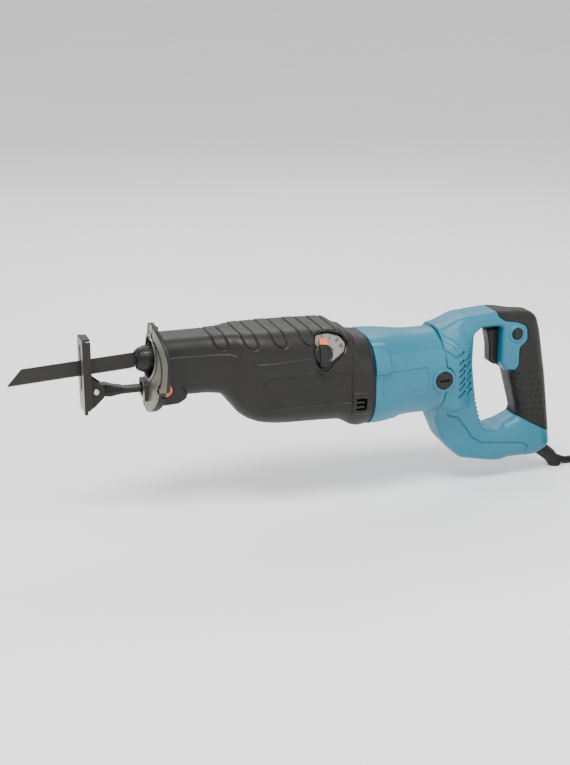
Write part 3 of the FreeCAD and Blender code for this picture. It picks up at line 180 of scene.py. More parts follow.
# ---- distance functions -----------------------------------------------------------------------
def blend_min(a, b, k):
    h = np.clip(0.5 + 0.5 * (b - a) / k, 0, 1)
    return b + (a - b) * h - k * h * (1 - h)


def step(value, low, high):
    t = np.clip((value - low) / (high - low), 0, 1)
    return t * t * (3 - 2 * t)


def slab(value, low, high):
    return np.maximum(low - value, value - high)


def rounded(a, b, r):
    """Two fields met with a round edge of radius r."""
    u, v = a + r, b + r
    return np.minimum(np.maximum(u, v), 0) + np.hypot(np.maximum(u, 0), np.maximum(v, 0)) - r


def rectangle(u, v, half_u, half_v, r):
    return rounded(np.abs(u) - half_u, np.abs(v) - half_v, r)


def capsule(u, v, start, end, r):
    ex, ey = end[0] - start[0], end[1] - start[1]
    t = np.clip(((u - start[0]) * ex + (v - start[1]) * ey) / (ex * ex + ey * ey), 0, 1)
    return np.hypot(u - start[0] - t * ex, v - start[1] - t * ey) - r


def path_distance(u, v, points):
    best = None
    for start, end in zip(points[:-1], points[1:]):
        d = capsule(u, v, start, end, 0.0)
        best = d if best is None else np.minimum(best, d)
    return best


def polygon(u, v, points):
    """Signed distance to a closed outline, negative inside."""
    best = np.full(u.shape, 1e12)
    inside = np.zeros(u.shape, bool)
    for (ax, ay), (bx, by) in zip(points, np.roll(points, -1, 0)):
        ex, ey = bx - ax, by - ay
        wx, wy = u - ax, v - ay
        t = np.clip((wx * ex + wy * ey) / (ex * ex + ey * ey), 0, 1)
        best = np.minimum(best, (wx - ex * t) ** 2 + (wy - ey * t) ** 2)
        if abs(ey) > 1e-9:
            inside ^= ((ay <= v) != (by <= v)) & (wx < ex * wy / ey)
    return np.where(inside, -1, 1) * np.sqrt(best)


def rounded_outline(points, radii):
    """The outline's points with an arc in place of each corner."""
    points = [np.array(p, float) for p in points]
    if not isinstance(radii, (list, tuple)):
        radii = [radii] * len(points)
    found = []
    for i, here in enumerate(points):
        before = points[i - 1] - here
        after = points[(i + 1) % len(points)] - here
        before = before / np.linalg.norm(before)
        after = after / np.linalg.norm(after)
        half = math.acos(np.clip(before @ after, -1, 1)) / 2
        middle = before + after
        middle = middle / np.linalg.norm(middle)
        centre = here + middle * radii[i] / math.sin(half)
        start = here + before * radii[i] / math.tan(half) - centre
        end = here + after * radii[i] / math.tan(half) - centre
        a0, a1 = math.atan2(start[1], start[0]), math.atan2(end[1], end[0])
        turn = (a1 - a0 + math.pi) % (2 * math.pi) - math.pi
        pieces = 6 + int(radii[i] / 5)
        for k in range(pieces + 1):
            a = a0 + turn * k / pieces
            found.append(centre + radii[i] * np.array([math.cos(a), math.sin(a)]))
    return np.array(found)


def through(x, xs, ys):
    """Smooth curve through stations, without overshoot."""
    xs, ys = np.array(xs, float), np.array(ys, float)
    h = np.diff(xs)
    s = np.diff(ys) / h
    m = np.zeros(len(xs))
    for i in range(1, len(xs) - 1):
        if s[i - 1] * s[i] > 0:
            m[i] = 2 * s[i - 1] * s[i] / (s[i - 1] + s[i])
    i = np.clip(np.searchsorted(xs, x) - 1, 0, len(xs) - 2)
    t = np.clip((x - xs[i]) / h[i], 0, 1)
    t2, t3 = t * t, t * t * t
    return ((2 * t3 - 3 * t2 + 1) * ys[i] + (t3 - 2 * t2 + t) * h[i] * m[i]
            + (3 * t2 - 2 * t3) * ys[i + 1] + (t3 - t2) * h[i] * m[i + 1])


def section(x, y, z, stations):
    """Rounded rectangle across the tool. A station is X, half width, top, bottom, corner radius."""
    columns = list(zip(*stations))
    half, top, bottom, r = (through(x, columns[0], columns[k]) for k in range(1, 5))
    return rounded(np.abs(y) - half, np.abs(z - (top + bottom) / 2) - (top - bottom) / 2, r)


# ---- meshing ----------------------------------------------------------------------------------
BLOCK = 4


def gradient(field, p, reach):
    found = np.empty_like(p)
    for k in range(3):
        offset = np.zeros(3)
        offset[k] = reach
        a, b = p + offset, p - offset
        found[:, k] = field(a[:, 0], a[:, 1], a[:, 2]) - field(b[:, 0], b[:, 1], b[:, 2])
    return found / (2 * reach)


def carve(name, field, low, high, voxel, material, body="housing", replaces=(), slot=None):
    """Mesh of the field's zero surface inside the box, with each vertex moved onto the surface."""
    voxel *= FINE
    low = np.array(low, float) - 3 * voxel
    counts = np.ceil((np.array(high, float) + 3 * voxel - low) / (BLOCK * voxel)).astype(int)
    middle = (BLOCK - 1) / 2
    axes = [low[k] + voxel * (BLOCK * np.arange(counts[k]) + middle) for k in range(3)]
    cx, cy, cz = np.meshgrid(*axes, indexing="ij")
    coarse = field(cx.ravel(), cy.ravel(), cz.ravel()).reshape(cx.shape)
    band = 3 * voxel

    def spread(a):
        return a.repeat(BLOCK, 0).repeat(BLOCK, 1).repeat(BLOCK, 2)

    values = spread(np.clip(coarse, -band, band))
    near = np.argwhere(spread(np.abs(coarse) < 5.2 * voxel))
    p = low + near * voxel
    found = np.empty(len(p))
    for start in range(0, len(p), 400000):
        q = p[start:start + 400000]
        found[start:start + 400000] = field(q[:, 0], q[:, 1], q[:, 2])
    values[near[:, 0], near[:, 1], near[:, 2]] = np.clip(found, -band, band)
    grid = openvdb.FloatGrid(band)
    grid.copyFromArray(values.astype(np.float32))
    points, quads = grid.convertToQuads(isovalue=0.0)
    p = low + points.astype(float) * voxel
    for _ in range(2):
        g = gradient(field, p, 0.12 * voxel)
        size = np.maximum((g * g).sum(1), 0.05)
        move = -field(p[:, 0], p[:, 1], p[:, 2])[:, None] * g / size[:, None]
        length = np.linalg.norm(move, axis=1, keepdims=True)
        p += move * np.minimum(1, 0.6 * voxel / np.maximum(length, 1e-9))
    normals = gradient(field, p, 0.3 * voxel)
    normals /= np.maximum(np.linalg.norm(normals, axis=1, keepdims=True), 1e-9)
    return add_mesh(name, p, quads, material, body, replaces, slot, normals)


def add_mesh(name, points, faces, material, body="housing", replaces=(), slot=None, normals=None):
    """A piece made of the faces: smooth with the normals given, or flat without them."""
    if normals is not None:
        a, b, c = (points[faces[:, k]] for k in (0, 1, 2))
        if (np.cross(b - a, c - a) * normals[faces[:, 0]]).sum() < 0:
            faces = faces[:, ::-1]
        faces = faces.tolist()
    mesh = bpy.data.meshes.new(name)
    mesh.from_pydata(place(points).tolist(), [], faces)
    if normals is not None:
        mesh.polygons.foreach_set("use_smooth", [True] * len(mesh.polygons))
        mesh.normals_split_custom_set_from_vertices(normals.tolist())
    mesh.materials.append(material)
    piece = new_object(name, mesh)
    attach(piece, body)
    if replaces:
        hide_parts(*replaces)
    return piece


def lookup(function, low, high, pitch=0.5):
    """A function of two coordinates, worked out once on a grid and then read off between its points."""
    us = np.arange(low[0], high[0] + pitch, pitch)
    vs = np.arange(low[1], high[1] + pitch, pitch)
    grid = function(*np.meshgrid(us, vs, indexing="ij"))

    def read(u, v):
        a = np.clip((u - low[0]) / pitch, 0, len(us) - 1.001)
        b = np.clip((v - low[1]) / pitch, 0, len(vs) - 1.001)
        i, j = a.astype(int), b.astype(int)
        a, b = a - i, b - j
        return ((grid[i, j] * (1 - a) + grid[i + 1, j] * a) * (1 - b)
                + (grid[i, j + 1] * (1 - a) + grid[i + 1, j + 1] * a) * b)
    return read


def outline_of(points, radii, margin=30, pitch=0.5):
    """Signed distance to a rounded outline."""
    corners = rounded_outline(points, radii)
    return lookup(lambda u, v: polygon(u, v, corners), corners.min(0) - margin,
                  corners.max(0) + margin, pitch)


def groove_of(points, margin=12, pitch=0.4):
    """Distance to an open line."""
    points = np.array(points, float)
    return lookup(lambda u, v: path_distance(u, v, points), points.min(0) - margin,
                  points.max(0) + margin, pitch)


def inside(d, soft=0.6):
    return 1 - step(d, -soft, soft)


def near(d, half, soft=0.45):
    return 1 - step(np.abs(d), half - soft, half + soft)


# ---- cord, coil and plug ----------------------------------------------------------------------
COIL_MIDDLE = (0.37653, -0.056)
COIL_TURNS = [(56, 4), (48, 4), (40, 4), (40, 12), (48, 12), (56, 12), (48, 20), (56, 20)]
PER_TURN = 24
route = [(0.30072, 0, 0.01075), (0.30978, 0, 0.00653), (0.31520, 0, 0.0043), (0.32300, 0.0006, 0.004),
         (0.33353, 0.0012, 0.004), (0.35453, 0.0016, 0.004), (0.37653, 0, 0.004)]
for (radius, height), (next_radius, next_height) in zip(COIL_TURNS[:-1], COIL_TURNS[1:]):
    for k in range(1, PER_TURN + 1):
        part = k / PER_TURN
        r = radius + (next_radius - radius) * step(part, 0.82, 1.0)
        z = height + (next_height - height) * step(part, 0.6, 0.78)
        angle = math.pi / 2 - 2 * math.pi * part
        route.append((COIL_MIDDLE[0] + r / 1000 * math.cos(angle),
                      COIL_MIDDLE[1] + r / 1000 * math.sin(angle), z / 1000))
route += [(0.39853, 0.0015, 0.0185), (0.42053, -0.002, 0.0115), (0.43953, -0.013, 0.0055),
          (0.45353, -0.030, 0.004), (0.46153, -0.050, 0.004)]
curve = bpy.data.curves.new("cord", "CURVE")
curve.dimensions = "3D"
curve.bevel_depth = 0.004
curve.bevel_resolution = 5
curve.resolution_u = 4
curve.use_fill_caps = True
line = curve.splines.new("NURBS")
line.points.add(len(route) - 1)
for point, place_of in zip(line.points, route):
    point.co = (*place_of, 1)
line.order_u = 3
line.use_endpoint_u = True
line.resolution_u = 4
cord = new_object("cord", curve)
curve.materials.append(CORD_SKIN)
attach(cord, "housing")
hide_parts("power_cord", "cord_coil", "cord_tail")

PLUG_REAR = np.array([461.53, -50.0, 4.0]) - SHIFT
PLUG_WAY = np.array([8.0, -20.0]) / math.hypot(20, 8)


def in_plug(x, y, z):
    """Along the plug from the cord's end, across it, and up."""
    dx, dy = x - PLUG_REAR[0], y - PLUG_REAR[1]
    return (dx * PLUG_WAY[0] + dy * PLUG_WAY[1], dy * PLUG_WAY[0] - dx * PLUG_WAY[1], z - PLUG_REAR[2])


def plug_shape(x, y, z):
    u, v, w = in_plug(x, y, z)
    rib = 0.7 * near(np.mod(u, 4.0) - 2.0, 0.9, 0.5) * (1 - step(u, 18, 20))
    sleeve = rounded(np.hypot(v, w) - through(u, [0, 24], [4.9, 6.9]) + rib, slab(u, -1.0, 26), 0.8)
    half = through(u, [18, 30, 40], [6.5, 15.2, 17.6])
    top = through(u, [18, 30, 40], [7.5, 12.0, 12.6])
    block = rounded(rounded(np.abs(v) - half, np.abs(w - (top - 4) / 2) - (top + 4) / 2, 4.0),
                    slab(u, 18, 42), 2.0)
    block = block + 0.9 * near(np.hypot(u - 31, v) - 7.5, 0.6)
    block = block + 0.8 * near(np.mod(u, 3.2) - 1.6, 0.7, 0.4) * inside(slab(u, 33.0, 40.0)) * step(
        np.abs(v), 13, 14)
    body = np.maximum(blend_min(sleeve, block, 2.0), -4.0 - w)
    return np.maximum(body, np.maximum(3.9 - np.hypot(v, w), u - 8.0))


plug = carve("plug_shell", plug_shape, PLUG_REAR - [12, 50, 4.5], PLUG_REAR + [36, 8, 14], 0.6,
             CORD_SKIN, "housing", ["plug_body"], "cord_rubber")


def prong_shape(x, y, z):
    u, v, w = in_plug(x, y, z)
    r = np.hypot(np.abs(v) - 9.5, w - 4.2)
    body = rounded(r - 2.4, slab(u, 39.5, 61), 1.2)
    return body + 0.18 * near(u - 50.5, 0.5, 0.3)


prongs = carve("plug_prongs", prong_shape, PLUG_REAR - [4, 66, 1], PLUG_REAR + [38, -30, 8], 0.4,
               BRASS, "housing", ["plug_pins"], "brass")


# ---- gearbox cover ----------------------------------------------------------------------------
GEARBOX = [(13, 27, 29.4, -32.0, 16), (60, 27, 29.4, -32.2, 16), (78, 28.5, 29.5, -34.0, 16),
           (88, 31.5, 29.8, -44, 16), (97, 36, 30.3, -55, 17), (110, 40, 30.4, -63.5, 20),
           (122, 42.5, 30.4, -67.5, 22), (140, 44, 30.3, -70.2, 24), (202, 44.5, 28.2, -72.5, 24),
           (219, 46.5, 20.0, -79, 32)]
DIAL_LEAN = math.radians(24)
DIAL = (183.0, -38.4, 4.1)
RECESS = [(-12.0, 1.0), (-10.0, 18.5), (-5.0, 22.4), (8.8, 23.2), (21.3, 18.9), (28.0, 9.6),
          (24.0, -1.0), (10.5, -10.8), (3.0, -19.0), (-4.5, -17.5), (-8.5, -9.0)]
recess_at = outline_of(RECESS, [8, 6, 6, 14, 9, 5, 8, 12, 5, 5, 12], 20, 0.3)
nose_panel = outline_of([(23, 9.2), (27, 11.9), (86, 11.2), (95, 8.5), (96.5, 1), (90, -8),
                         (86, -16), (23, -16)], [1.5, 4, 8, 6, 5, 6, 6, 2])
side_panel = outline_of([(117, -15.2), (213.5, -16.3), (213.5, -49.5), (136, -48), (119, -34)],
                        [9, 2, 2, 14, 14])
flare_line = groove_of([(91, -29.2), (97, -39), (104, -48)])
lobe_at = outline_of([(10, -8), (31, -10), (44, -30), (33, -36.5), (10, -37.5)], [1, 9, 5, 8, 1],
                     16, 0.3)
TONGUES = [(76, 22.6), (105, 22.4), (135, 22.2), (165, 21.8), (192, 21.4)]


BUTTON = (19.5, -20.5)


def in_dial(x, y, z):
    """Back along the dial's face, up it, and out of it."""
    dy, dz = y - DIAL[1], z - DIAL[2]
    c, s = math.cos(DIAL_LEAN), math.sin(DIAL_LEAN)
    return x - DIAL[0], dy * s + dz * c, -dy * c + dz * s


def cover_shape(x, y, z):
    side = np.abs(y)
    d = section(x, y, z, GEARBOX)
    slanted = x - 0.33 * (29.5 - z)
    ridge = np.full(x.shape, 1e3)
    for middle, low in TONGUES:
        tongue = capsule(slanted, z, (middle, 90.0), (middle, low + 0.1), 6.6)
        ridge = np.minimum(ridge, np.abs(tongue))
        d = d - 0.35 * inside(tongue, 0.8) * step(x, 58, 66)
    d = d + 1.15 * near(ridge, 0.8, 0.55)
    d = d - 1.15 * inside(nose_panel(x, z), 0.7) * step(side, 18, 23)
    d = d + 1.2 * inside(side_panel(x, z), 0.7) * step(side, 32, 38)
    d = d + 0.6 * near(flare_line(x, z), 0.8, 0.7) * step(side, 24, 30)
    below = inside(z - (0.2 + (x - 113) * 0.046), 0.9)
    below = below * step(x, 104, 116) * (1 - step(x, 168, 176)) * step(z, -15, -3)
    d = d - 1.1 * below * step(side, 34, 40)
    d = rounded(d, slab(x, 13.0, 219.0), 2.2)
    lobe = rounded(lobe_at(x, z), slab(y, -29.2, 0.0), 2.4)
    d = blend_min(d, np.maximum(lobe, 13.0 - x), 2.5)
    u, v, w = in_dial(x, y, z)
    well = recess_at(u, v)
    d = blend_min(d, np.maximum(np.abs(well - 1.3) - 1.3, slab(w, -3.0, 1.8)), 1.6)
    d = np.maximum(d, -np.maximum(well, -3.2 - w))
    bore = np.hypot(u, v)
    d = np.maximum(d, -np.maximum(bore - 6.0, slab(w, -15.0, 0.0)))
    shell = np.maximum(d, -(section(x, y, z, GEARBOX) + 3.2))
    shell = np.maximum(shell, -np.maximum(np.hypot(x - BUTTON[0], z - BUTTON[1]) - 7.4, y + 14.0))
    opening = np.maximum(rectangle(y, z - 2.3, 16.0, 20.1, 3.0), x - 118)
    tunnel = np.maximum(rectangle(y, z + 24.4, 6.9, 3.2, 0.5), x - 118)
    nose = np.maximum(section(x, y, z, GEARBOX) + 2.0, slab(x, 13.6, 17.0))
    shell = np.minimum(shell, nose)
    return np.maximum(shell, -np.minimum(opening, tunnel))


carve("gearbox_cover", cover_shape, (13, -52, -80), (219, 50, 30), 0.9, RUBBER, "housing",
      ["front_cover"], "cover_rubber")

COLLAR = [(213.6, 46.9, 22.0, -78.5, 31), (220, 48.4, 18.2, -82.0, 34), (229, 49.1, 14.8, -84.6, 38),
          (238.6, 49.2, 14.2, -84.2, 40)]


def collar_shape(x, y, z):
    side = np.abs(y)
    cover = section(x, y, z, GEARBOX)
    d = np.minimum(section(x, y, z, COLLAR), np.where(x < 219.5, cover - 0.9, 1e3))
    box_d = rectangle(x - 223.4, z + 50.6, 10.0, 12.0, 2.0)
    d = d - 0.9 * inside(box_d, 0.7) * step(side, 30, 36)
    d = d + 0.8 * near(x - 236.6, 0.6, 0.5)
    d = rounded(d, slab(x, 213.8, 238.4), 1.6)
    r = np.hypot(y, z - MOTOR_Z)
    slots = np.full(x.shape, 1e3)
    for height in (-46.2, -51.3, -56.5):
        slots = np.minimum(slots, rectangle(x - 222.4, z - height, 4.8, 1.35, 0.4))
    slots = np.minimum(slots, rectangle(x - 227.2, z + 51.3, 1.4, 6.6, 0.4))
    d = np.maximum(d, -np.maximum(slots, 34 - side))
    return np.maximum(d, np.where(x > 217.0, 42.6 - r, -2.2 - cover))


carve("motor_ring", collar_shape, (213, -52, -88), (239, 52, 24), 0.75, RUBBER, "housing",
      ["motor_collar"], "black_plastic")


# ---- motor housing ----------------------------------------------------------------------------
BRUSH_X = 317.0


SEAM = 321.0


def motor_shape(x, y, z):
    side = np.abs(y)
    r = np.hypot(y, z - MOTOR_Z)
    round_d = r - (48.5 - 2.0 * step(x, 269.5, 274.5) * step(-z, -20, 60) - 2.0 * step(x, 262, 300)
                   * (1 - step(-z, -20, 60)))
    square = rectangle(y, z - MOTOR_Z, 48.7, 48.7, 36.0)
    d = round_d + (square - round_d) * (1 - step(x, 245, 290))
    boss = rectangle(x - 244.0, z + 5.0, 10.8, 14.5, 1.5)
    d = d - 2.0 * inside(boss - 1.2, 1.4) * step(side, 30, 38)
    line = step(x, 258, 262)
    d = d - 1.3 * inside(z + 4.4 + 0.02 * (x - 280), 0.6) * line * step(side, 30, 36) * step(z, -17, -7)
    label = rectangle(x - 273.5, z + 33.0, 26.5, 13.2, 2.0)
    d = d + 1.1 * inside(label, 0.6) * step(side, 36, 42)
    d = d + 2.1 * step(x - SEAM, -0.35, 0.35)
    d = rounded(d, slab(x, 238.9, 327.0), 0.9)
    d = np.maximum(d, 43.4 - r)
    cap = np.hypot(x - BRUSH_X, z - MOTOR_Z)
    ring = rounded(cap - 13.2, np.maximum(side - 47.8, 38 - side), 1.0)
    d = np.minimum(d, ring)
    wall = np.maximum(slab(x, 331.0, 334.0), np.maximum(r - 40.5, 8.0 - r))
    boss_back = np.maximum(slab(x, 331.0, 345.0), np.maximum(r - 15.0, 11.05 - r))
    d = np.minimum(d, np.minimum(wall, boss_back))
    return np.maximum(d, -np.maximum(cap - 9.75, 37.0 - side))


carve("motor_shell", motor_shape, (238, -52, -87), (346, 52, 16), 0.85, TEAL, "housing",
      ["motor_housing"], "teal_plastic")


# ---- handle -----------------------------------------------------------------------------------
outline_at = outline_of(
    [(290, 8), (328, 13.5), (350, 23.5), (388, 26.5), (441, 20.5), (447, 0), (456.5, -52),
     (467.5, -134), (462, -141.5), (449, -147.5), (394, -146.5), (353, -138), (332, -115.5),
     (315, -78), (290, -60)], [1, 30, 30, 40, 14, 40, 200, 8, 6, 8, 60, 16, 30, 20, 1])
gap_at = outline_of(
    [(363.5, 3), (373, 10), (398, 10), (398, -33), (404, -41.5), (410.4, -42.5), (425.5, -96),
     (408, -103.5), (397, -110.5), (379, -106.5), (369.5, -73), (363, -28)],
    [7, 7, 4, 6, 3, 1.5, 7, 8, 10, 10, 60, 60])
pad_at = outline_of(
    [(391, 60), (391.5, 21.5), (400, 16), (414, 13.5), (427, 8), (428, -8), (419, -16), (419, -36),
     (414, -41.5), (398, -42), (398, -99), (424, -97), (440, -106), (490, -134), (520, 60)],
    [1, 3, 3, 6, 8, 6, 3, 5, 3, 1, 1, 6, 8, 1, 1])
BELL = [(290, 46.5, 11.5, -81.5, 46), (321.3, 46.5, 11.5, -81.5, 46), (336, 43, 13.5, -86, 38),
        (350, 33, 18, -88, 28), (362, 24, 18, -86, 18)]
arm_line = groove_of([(334, -84), (346.9, -88.4), (356.6, -100.7), (364.9, -113.6), (377.8, -121.8),
                      (428.6, -127.9), (435.2, -132.5), (432.4, -138.3)])
crescent = groove_of([(316, 6.5), (324, 5.2), (331, 1.5), (338.4, -6.9)])
motor_line = groove_of([(306, -5.0), (324.7, -7.3), (332.4, -13.7)])
VENTS = [(338.8, -11.2, 4.2), (339.8, -19.2, 2.6), (341.7, -26.5, 4.0), (341.9, -32.9, 4.0),
         (342.3, -40.8, 4.0), (342.6, -47.4, 4.0), (342.9, -56.1, 4.4),
         (351.8, -17.5, 3.2), (352.1, -25.2, 3.2), (354.9, -35.6, 3.0), (355.1, -41.7, 3.0),
         (355.5, -50.2, 3.2), (356.6, -57.8, 3.4)]
VENT_SLOPE = 0.42
VENT_R = 1.5
SCREWS = [(353.0, 12.0), (345.0, -110.0), (432.0, 12.5), (436.0, -60.0), (446.0, -135.0),
          (385.0, -128.0)]
LOCK_ON = (414.5, 0.5)
SERRATION_PITCH = 4.6
GUARD_START = np.array([455.0, 0.0, -138.5])
STEEP = math.radians(39)


def along_guard(x, z):
    """Distance down the strain relief's axis and, squared, from it in the side view."""
    dx, dz = x - GUARD_START[0], z - GUARD_START[2]
    return dx * math.cos(STEEP) - dz * math.sin(STEEP), dx * math.sin(STEEP) + dz * math.cos(STEEP)


def handle_body(x, y, z):
    side = np.abs(y)
    gap = gap_at(x, z)
    grip = step(x, 402, 416)
    arm = rounded(outline_at(x, z), side - 21.0, 8.0 + 7.0 * grip)
    bell = rounded(section(x, y, z, BELL), slab(x, 280.0, 362.0), 7.0)
    d = blend_min(arm, bell, 9.0)
    serration = 0.8 * np.sin((z + 0.3 * x) * 2 * math.pi / SERRATION_PITCH)
    serration = serration * inside(slab(z, -99, -66), 2.0) * inside(x - 379, 1.0)
    return rounded(d, -gap + serration, 5.0 + 9.0 * step(x, 398, 410) * step(-z, 38, 48))


def handle_outside(x, y, z):
    side = np.abs(y)
    d = handle_body(x, y, z)
    lower = arm_line(x, z)
    d = d + 1.2 * near(lower, 0.75, 0.5) * step(side, 12, 16)
    d = d + 1.2 * near(motor_line(x, z), 0.75, 0.5) * step(side, 20, 26)
    d = d - 0.9 * near(crescent(x, z) - 1.0, 1.6, 1.3) * step(side, 20, 26)
    boss = np.hypot(x - LOCK_ON[0], z - LOCK_ON[1])
    d = d - 1.3 * inside(boss - 9.6, 0.6) * step(side, 12, 16)
    vents = np.full(x.shape, 1e3)
    for vx, vz, half in VENTS:
        rise = half * VENT_SLOPE
        vents = np.minimum(vents, capsule(x, z, (vx - half, vz - rise), (vx + half, vz + rise), VENT_R))
    return np.maximum(d, -rounded(vents, -(d + 9.0), 0.4))


def handle_cuts(x, y, z):
    side = np.abs(y)
    r = np.hypot(y, z - MOTOR_Z)
    cuts = np.minimum(np.maximum(r - 45.2, x - 327.5), np.maximum(r - 41.3, x - 334.5))
    cuts = np.minimum(cuts, np.maximum(r - 16.0, x - 348.0))
    cuts = np.minimum(cuts, np.hypot(x - BRUSH_X, z - MOTOR_Z) - 14.0)
    trigger_slot = np.maximum(side - 8.45, slab(z, -38.6, 6.6))
    cuts = np.minimum(cuts, rounded(slab(x, 390.0, 430.0), trigger_slot, 0.4))
    cuts = np.minimum(cuts, np.maximum(np.hypot(x - LOCK_ON[0], z - LOCK_ON[1]) - 6.5, y + 6.0))
    along, off = along_guard(x, z)
    radial = np.hypot(off, y)
    cuts = np.minimum(cuts, np.maximum(radial - 8.5, -6.0 - along))
    cuts = np.minimum(cuts, np.maximum(radial - 10.8, slab(along, 0.8, 3.7)))
    for sx, sz in SCREWS:
        reach = np.hypot(x - sx, z - sz)
        cuts = np.minimum(cuts, np.maximum(reach - 3.4, 15.0 - y))
        cuts = np.minimum(cuts, np.maximum(reach - 1.75, -10.0 - y))
    return cuts


def shell_shape(x, y, z, way):
    d = handle_outside(x, y, z)
    pad = pad_at(x, z)
    d = np.minimum(rounded(d, 0.15 - pad, 0.9), handle_body(x, y, z) + 2.1)
    d = rounded(d, SEAM + 0.6 - x, 0.7)
    d = rounded(d, -y * way + 0.03, 0.25)
    return np.maximum(d, -handle_cuts(x, y, z))


for name, way in (("left", -1), ("right", 1)):
    carve("handle_" + name, lambda x, y, z: shell_shape(x, y, z, way),
          (300, min(50 * way, -way), -150), (470, max(50 * way, -way), 28), 0.85, TEAL, "housing",
          ["handle_shell_" + name], "teal_plastic")


def dimples(x, z):
    """Slanted lattice of small pits, with a flat floor."""
    along = (z + 45.0) / 7.4
    row = np.round(along)
    across = (x - 419.0 + 0.30 * (z + 45.0)) / 7.0 + 0.5 * np.mod(row, 2)
    column = np.round(across)
    du, dv = (across - column) * 7.0, (along - row) * 7.4
    keep = (row <= 0) & (row >= -7) & (column >= 0) & (column <= 3 + (row < -2))
    return np.where(keep, np.hypot(du, dv), 99.0)


def pad_shape(x, y, z):
    side = np.abs(y)
    d = handle_body(x, y, z)
    crown = rounded(d - 0.35, pad_at(x, z) + 0.15, 1.1)
    crown = crown + 0.85 * inside(dimples(x, z) - 1.0, 0.4) * step(side, 12, 15)
    crown = np.maximum(crown, -(d + 2.0))
    return np.maximum(crown, -handle_cuts(x, y, z))


carve("grip_pad", pad_shape, (389, -23, -126), (470, 23, 28), 0.65, GRIP, "housing", ["grip_rubber"],
      "grip_rubber")


# ---- nose guard -------------------------------------------------------------------------------
GUARD_Z = -3.9


def guard_shape(x, y, z):
    side, height = np.abs(y), z - GUARD_Z
    r = np.hypot(y, height)
    foot = through(z, [-50, -44, -34, -22, -14], [15.0, 23.0, 30.0, 34.5, 62.0])
    outline = rounded(r - 45.3, (side - foot) * 0.8, 3.5)
    sweep = 8.6 * np.clip((side - 13) / 28.5, 0, 1) ** 1.4
    front = 8.6 + 0.09 * height + sweep
    front = front + 1.3 * near(side - 8.2, 0.9, 0.5) * (step(z, 27, 30) + 1 - step(z, -31, -29))
    front = front + 1.0 * near(r - 34.5, 0.8, 0.6) * step(side, 12, 16) * step(z, -20, -14)
    front = front - 0.9 * inside(np.hypot(y, z - 7.0) - 25.5, 0.8)
    depth = 4.6 + 3.4 * (1 - step(z, -26, -20))
    plate = rounded(outline, np.abs(x - front - depth / 2) - depth / 2, 1.5)
    boss = rounded(rectangle(y, z + 26.5, 13.0, 10.0, 3.0), slab(x, 1.0, 15.0), 1.6)
    plate = blend_min(plate, boss, 2.5)
    plate = rounded(plate, 21.0 - np.hypot(y, z - 7.0), 1.2)
    opening = rectangle(y, z + 24.4, 8.0, 4.3 + 2.2 * (1 - step(x, 2, 7)), 1.0)
    for sign in (1, -1):
        screw = np.hypot(y - sign * 31.5, z - GUARD_Z + 12.0)
        plate = np.maximum(plate, 2.2 - screw)
    button = np.hypot(x - BUTTON[0], z - BUTTON[1]) - 8.2
    return np.maximum(plate, -np.minimum(opening, np.maximum(button, slab(y, -32.2, -10.0))))


def darken_sides(piece, limit):
    """The second finish, on every face that doesn't look forward."""
    piece.data.materials.append(CHARCOAL)
    looks = np.empty(3 * len(piece.data.polygons))
    piece.data.polygons.foreach_get("normal", looks)
    piece.data.polygons.foreach_set("material_index", (looks[0::3] > limit).astype(np.int32))


flange = carve("nose_flange", guard_shape, (0, -46, -52), (27, 46, 43), 0.6, SATIN, "housing",
               ["nose_guard"], "guard_metal")
darken_sides(flange, -0.80)


# ---- shoe and its stem ------------------------------------------------------------------------
SHOE_PIN = (-47.0, -21.5)
ear_at = outline_of([(-56.5, -1.0), (-50, -7.5), (-37.5, -18.0), (-38.5, -28.0), (-49.5, -38.5),
                     (-56.5, -40.0)], [1, 4, 5, 5, 8, 1], 12, 0.25)
stem_at = outline_of([(-43, -16.2), (-36, -15.8), (-31, -17.4), (-27.5, -18.9), (-21, -19.9),
                      (-17, -21.6), (78, -21.6), (78, -27.2), (-20, -27.2), (-32, -29.0), (-43, -27.4)],
                     [0.8, 3, 2, 2, 2, 2, 0.6, 0.6, 1, 4, 0.8], 12, 0.25)


def shoe_shape(x, y, z):
    side = np.abs(y)
    low = -45.0 + 2.4 * (1 - (side / 13.4) ** 2) * (side < 13.4)
    face = rounded(rounded(side - 13.5, slab(z, low, 34.0), 2.8), slab(x, -60.0, -56.4), 1.0)
    flange = rounded(rounded(slab(side, 11.0, 13.5), slab(z, -38.0, 31.6), 0.6),
                     slab(x, -59.4, -51.4), 0.9)
    lip = rounded(rounded(side - 10.8, slab(z, 31.6, 34.0), 0.8), slab(x, -59.4, -51.2), 0.9)
    ear = rounded(ear_at(x, z), slab(side, 7.1, 9.0), 0.7)
    bridge = rounded(rounded(slab(side, 7.1, 13.0), slab(z, -40.0, -3.0), 0.6),
                     slab(x, -58.4, -53.6), 0.8)
    d = blend_min(face, blend_min(flange, lip, 0.8), 1.2)
    d = blend_min(d, blend_min(ear, bridge, 1.0), 0.8)
    d = d + 0.5 * near(side - 6.4, 0.6, 0.4) * (x < -58.5) * inside(slab(z, -28, 29), 1.0)
    slot = rectangle(y, z - 2.5, 2.9, 24.0, 2.8)
    d = rounded(d, -np.maximum(slot, x + 50.0), 0.5)
    return np.maximum(d, 2.55 - np.hypot(x - SHOE_PIN[0], z - SHOE_PIN[1]))


face = carve("shoe_face", shoe_shape, (-61, -14, -46), (-37, 14, 35), 0.42, SATIN, "shoe",
             ["shoe_plate"], "shoe_metal")
darken_sides(face, -0.80)


def rivet_shape(x, y, z):
    r = np.hypot(x - SHOE_PIN[0], z - SHOE_PIN[1])
    side = np.abs(y)
    dome = rounded(r - 3.2, side - 10.8 + 0.05 * r * r, 0.7)
    dome = np.maximum(dome, 9.05 - side) + 0.25 * inside(r - 1.6, 0.4)
    return np.minimum(dome, np.maximum(r - 2.5, side - 10.0))


